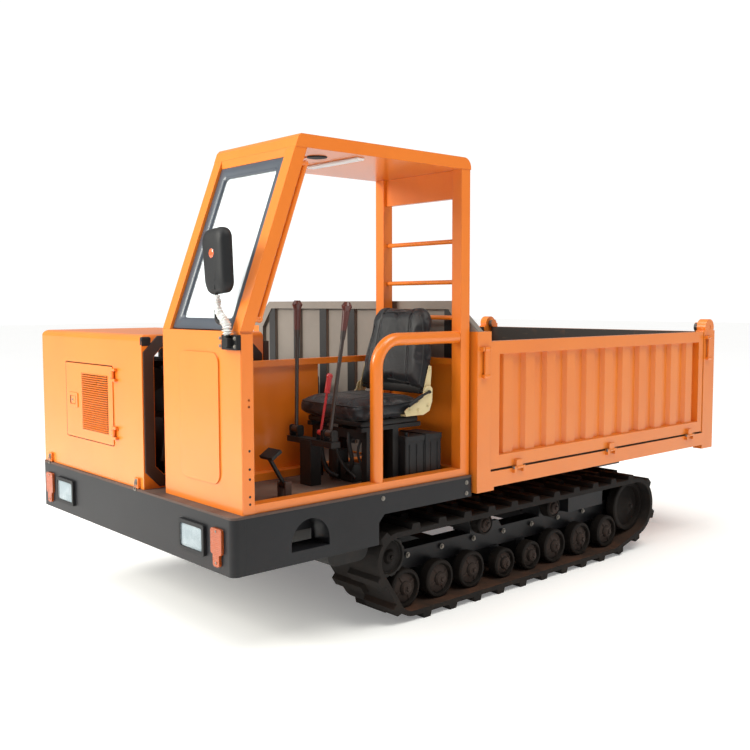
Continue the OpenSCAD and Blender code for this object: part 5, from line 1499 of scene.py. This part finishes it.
    def backrest(self) -> None:
        """Tapered backrest with two upright seams."""
        outline: list[tuple[float, float]] = []
        for k in range(9):
            z = 0.030 + 0.250 * k / 8
            outline.append((0.202 + 0.012 * math.sin(math.pi * k / 8) - 0.020 * k / 8, z))
        for k in range(1, 9):
            angle = math.pi / 2 * k / 8
            outline.append((0.112 + 0.070 * math.cos(angle), 0.280 + 0.094 * math.sin(angle)))
        mirrored = [(-x, z) for x, z in reversed(outline)]
        loop = [*outline, *mirrored]
        work = Workpiece()
        rings = []
        section = ((-0.036, 0.055), (-0.032, 0.016), (-0.018, 0.003), (0.0, 0.0), (0.026, 0.004),
                   (0.038, 0.018), (0.041, 0.060))
        for y, inset in section:
            rings.append([self.back_point(x, y, z) for x, z in shrink(loop, inset)])
        work.loft(rings)
        inverse = Matrix.Rotation(self.lean, 3, "X")

        def groove(p: Vector) -> float:
            """Depth of the two upright seams on the front."""
            local = inverse @ (p - self.pivot)
            seam = 0.128 - 0.030 * local.z / self.back_height
            return self.sewn(abs(abs(local.x) - seam), 0.006) if local.y < -0.004 else 0.0
        own = Matrix.Rotation(self.lean, 4, "X") @ Matrix.Translation(-self.pivot)
        pad = self.stuffed(work, "back_pad", "seat_back", groove, own,
                           Vector((-0.223, -0.050, 0.008)), Vector((0.223, 0.050, 0.402)))
        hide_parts("seat_back")
        line = [self.back_point(x * 1.03, -0.030, z) for x, z in loop]
        self.piping(pad, [*line, line[0]], "back_piping", "seat_back")
        arm = Workpiece()
        strip = [(-0.018, -0.022), (0.018, -0.022), (0.022, 0.0), (0.014, 0.100), (0.008, 0.125),
                 (-0.006, 0.125), (-0.010, 0.100), (-0.022, 0.0)]
        for side in Side:
            place: Placer = lambda u, v, h, s=side: self.back_point(s.value * (0.2300 + h), u, v)
            arm.plate(strip, place, -0.003, 0.003)
            arm.bolt(self.back_point(side.value * 0.233, 0.001, 0.108), side.outward, 0.0055)
            arm.bolt(self.back_point(side.value * 0.233, 0.0, 0.0), side.outward, 0.011)
        arm.piece("recliner_upper", self.palette["cream_bracket"], "seat_back")
        bar = Workpiece()
        bar.block((self.middle - 0.20, -0.676, 1.052), (self.middle + 0.20, -0.654, 1.094), 0.006)
        bar.piece("back_crossbar", self.palette["powder_black"], "seat_back")

    def build(self) -> None:
        """Makes the whole seat."""
        self.cushion()
        self.backrest()


@dataclass
class CabFloor:
    """Battery strap, cables under the seat and the valve block."""

    palette: Palette
    strap_half: float = 0.016

    def build(self) -> None:
        """Makes the pieces on the cab's floor."""
        lo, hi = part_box("battery")
        strap = Workpiece()
        y = (lo.y + hi.y) / 2 + 0.02
        y0, y1 = y - self.strap_half, y + self.strap_half
        strap.block((lo.x - 0.003, y0, hi.z - 0.0155), (hi.x + 0.003, y1, hi.z - 0.0115), 0.0015)
        strap.block((hi.x - 0.0002, y0, lo.z + 0.012), (hi.x + 0.0032, y1, hi.z - 0.012), 0.0012)
        for k in range(5):
            rib = lo.y + 0.030 + k * (hi.y - lo.y - 0.06) / 4
            strap.block((hi.x - 0.005, rib - 0.004, lo.z + 0.03), (hi.x - 0.0005, rib + 0.004, hi.z - 0.055),
                        0.0015)
        strap.piece("battery_strap", self.palette["grained_plastic"], "base")
        work = Workpiece()
        runs = [
            ([(0.66, -1.00, 0.90), (0.69, -1.03, 0.84), (0.70, -1.02, 0.76), (0.66, -1.00, 0.69)], 0.010),
            ([(0.58, -0.99, 0.90), (0.60, -1.03, 0.82), (0.64, -1.03, 0.74), (0.70, -1.00, 0.675)], 0.008),
            ([(0.52, -1.00, 0.88), (0.50, -1.04, 0.80), (0.54, -1.04, 0.70), (0.60, -1.02, 0.668)], 0.011),
            ([(0.74, -0.99, 0.88), (0.73, -1.01, 0.80), (0.75, -1.00, 0.72), (0.72, -0.97, 0.668)], 0.006),
            ([(0.70, -0.80, hi.z + 0.012), (0.68, -0.86, 0.90), (0.66, -0.94, 0.86), (0.64, -1.00, 0.84)],
             0.007),
        ]
        for knots, radius in runs:
            work.tube(smooth_path(knots), radius, 12)
        work.piece("seat_cables", self.palette["hose_rubber"], "base")
        block = Workpiece()
        block.block((0.600, -1.010, 0.652), (0.690, -0.940, 0.735), 0.006)
        block.block((0.500, -1.000, 0.652), (0.570, -0.930, 0.790), 0.006)
        block.bolt(Vector((0.645, -1.010, 0.700)), FORWARD, 0.012)
        block.piece("valve_block", self.palette["engine_enamel"], "base")


@dataclass
class LoadBox:
    """Pin heads on the hinges of the load box's side gates."""

    # Radius and height of a pin's head.
    PIN_HEAD = ((0.0075, 0.0), (0.0075, 0.002), (0.0062, 0.004), (0.002, 0.0045))

    palette: Palette
    hinge_x: float = 0.958
    hinge_z: float = 0.657
    barrel_half: float = 0.0415
    hinge_shares: tuple[float, ...] = (0.1, 0.5, 0.92)

    def build(self) -> None:
        """Makes the pin heads of both gates."""
        for side in Side:
            lo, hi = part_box(f"side_gate_{side.word}")
            pins = Workpiece()
            for share in self.hinge_shares:
                y = lo.y + share * (hi.y - lo.y)
                for sign in (-1, 1):
                    at = Vector((side.value * self.hinge_x, y + sign * self.barrel_half, self.hinge_z))
                    pins.lathe(at, Vector((0, sign, 0)), self.PIN_HEAD, 16)
            pins.piece(f"gate_pin_heads_{side.word}", self.palette["zinc_bolt"], "load_box")


@dataclass
class Studio:
    """Floor, lights and camera."""

    palette: Palette
    eye: Vector = field(default_factory=lambda: Vector((3.9348, -3.7618, 1.4877)))
    yaw: float = math.radians(48.52)
    pitch: float = math.radians(-4.24)
    roll: float = math.radians(0.14)
    lens: float = 44.42
    reach: float = 60.0
    glow: float = 0.2

    def floor(self) -> None:
        """Wide pale floor that is not part of the machine."""
        mesh = bpy.data.meshes.new("studio_floor")
        corners = [(x * self.reach, y * self.reach, 0) for x, y in ((-1, -1), (1, -1), (1, 1), (-1, 1))]
        mesh.from_pydata(corners, [], [(0, 1, 2, 3)])
        pale = self.palette["studio_floor"]
        shader = pale.node_tree.nodes["Principled BSDF"]
        shader.inputs["Emission Color"].default_value = (1.0, 1.0, 1.0, 1.0)
        shader.inputs["Emission Strength"].default_value = self.glow
        mesh.materials.append(pale)
        add_object("studio_floor", mesh)

    def lamp(self, name: str, at: Sequence[float], aim: Sequence[float], size: float, power: float,
             colour: Sequence[float]) -> None:
        """Soft square light.

        Args:
            name: Name of the light.
            at: Its place.
            aim: Point it looks at.
            size: Side of the square.
            power: Power in watts.
            colour: Linear colour.
        """
        light = bpy.data.lights.new(name, "AREA")
        light.shape = "SQUARE"
        light.size, light.energy, light.color = size, power, colour
        made = add_object(name, light)
        made.location = at
        made.rotation_mode = "QUATERNION"
        made.rotation_quaternion = (Vector(aim) - Vector(at)).to_track_quat("-Z", "Y")

    def build(self) -> None:
        """Sets up the floor, the lights and the camera."""
        self.floor()
        world = bpy.data.worlds.new("studio")
        world.use_nodes = True
        background = world.node_tree.nodes["Background"]
        background.inputs["Color"].default_value = (1.0, 1.0, 1.0, 1.0)
        w = Wiring(world.node_tree)
        rays = w.node("ShaderNodeLightPath")
        mirrored = w.maths("MULTIPLY_ADD", rays.outputs["Is Glossy Ray"], 0.1, 0.28)
        w.feed(background.inputs["Strength"],
               w.maths("MULTIPLY_ADD", rays.outputs["Is Camera Ray"], 0.78, mirrored))
        bpy.context.scene.world = world
        self.lamp("key", at=(-2.5, -8.0, 4.5), aim=(0, -0.5, 0.8), size=3.5, power=760.0,
                  colour=(1.0, 0.98, 0.90))
        self.lamp("side", at=(5.0, 0.5, 8.5), aim=(0.6, 0, 0.8), size=4.0, power=450.0,
                  colour=(1.0, 0.99, 0.93))
        sun = bpy.data.lights.new("sky", "SUN")
        sun.energy, sun.angle = 2.0, math.radians(50)
        high = add_object("sky", sun)
        high.rotation_mode = "QUATERNION"
        high.rotation_quaternion = Vector((0.15, 0.45, -1.0)).to_track_quat("-Z", "Y")
        camera = bpy.data.cameras.new("camera")
        camera.lens, camera.sensor_width = self.lens, 36.0
        camera.shift_x, camera.shift_y = 0.0054, -0.0052
        made = add_object("camera", camera)
        level = math.cos(self.pitch)
        ahead = Vector((-math.sin(self.yaw) * level, math.cos(self.yaw) * level, math.sin(self.pitch)))
        rolled = Matrix.Rotation(self.roll, 3, ahead).to_quaternion()
        made.rotation_mode = "QUATERNION"
        made.rotation_quaternion = rolled @ ahead.to_track_quat("-Z", "Y")
        made.location = self.eye
        bpy.context.scene.camera = made
        bpy.context.scene.view_settings.view_transform = "Standard"


class FrameDress:
    """Gives every carried-over frame node its finish."""

    BY_SLOT = {
        Slot.ORANGE: "orange_gloss",
        Slot.CHASSIS: "chassis_grey",
        Slot.DRAB: "deck_paint",
        Slot.RUBBER: "tread_rubber",
        Slot.ROLLER: "rim_iron",
        Slot.SPROCKET: "sprocket_iron",
        Slot.ENGINE: "engine_enamel",
        Slot.PLASTIC: "grained_plastic",
        Slot.BLACK: "powder_black",
        Slot.GLASS: "clear_pane",
        Slot.FABRIC: "seat_vinyl",
        Slot.KNOB: "lever_rod",
        Slot.RED: "red_grip",
        Slot.AMBER: "amber_lens",
        Slot.LAMP: "grained_plastic",
        Slot.CYLINDER: "cylinder_black",
        Slot.CHROME: "hard_chrome",
    }
    BY_NODE = {
        "headboard": "board_paint", "side_gate_left": "orange_gate", "side_gate_right": "orange_gate",
        "dump_bed": "bed_paint", "tailgate": "tail_paint", "gate_latches_left": "orange_gloss",
        "gate_latches_right": "orange_gloss",
    }

    def __init__(self, frame: dict, palette: Palette) -> None:
        """Keeps the frame and the palette."""
        self.frame = frame
        self.palette = palette

    def build(self) -> None:
        """Assigns a finish to each node."""
        for row in self.frame["record"]["subparts"]:
            name = row["node"]
            finish = self.BY_NODE.get(name, self.BY_SLOT[Slot(row["material_slot"])])
            mesh = self.frame["nodes"][name].data
            mesh.materials.clear()
            mesh.materials.append(self.palette[finish])
            log.info("%s wears %s", name, finish)


def main() -> None:
    """Builds the scene in order."""
    logging.basicConfig(level=logging.INFO, format="%(name)s %(message)s")
    for spare in list(bpy.data.objects):
        bpy.data.objects.remove(spare)
    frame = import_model()
    palette = Palette()
    FrameDress(frame, palette).build()
    for assembly in (Undercarriage, FrontLamps, EngineHood, Cab, DriverSeat, CabFloor, LoadBox, Studio):
        assembly(palette).build()


if __name__ == "__main__":
    main()
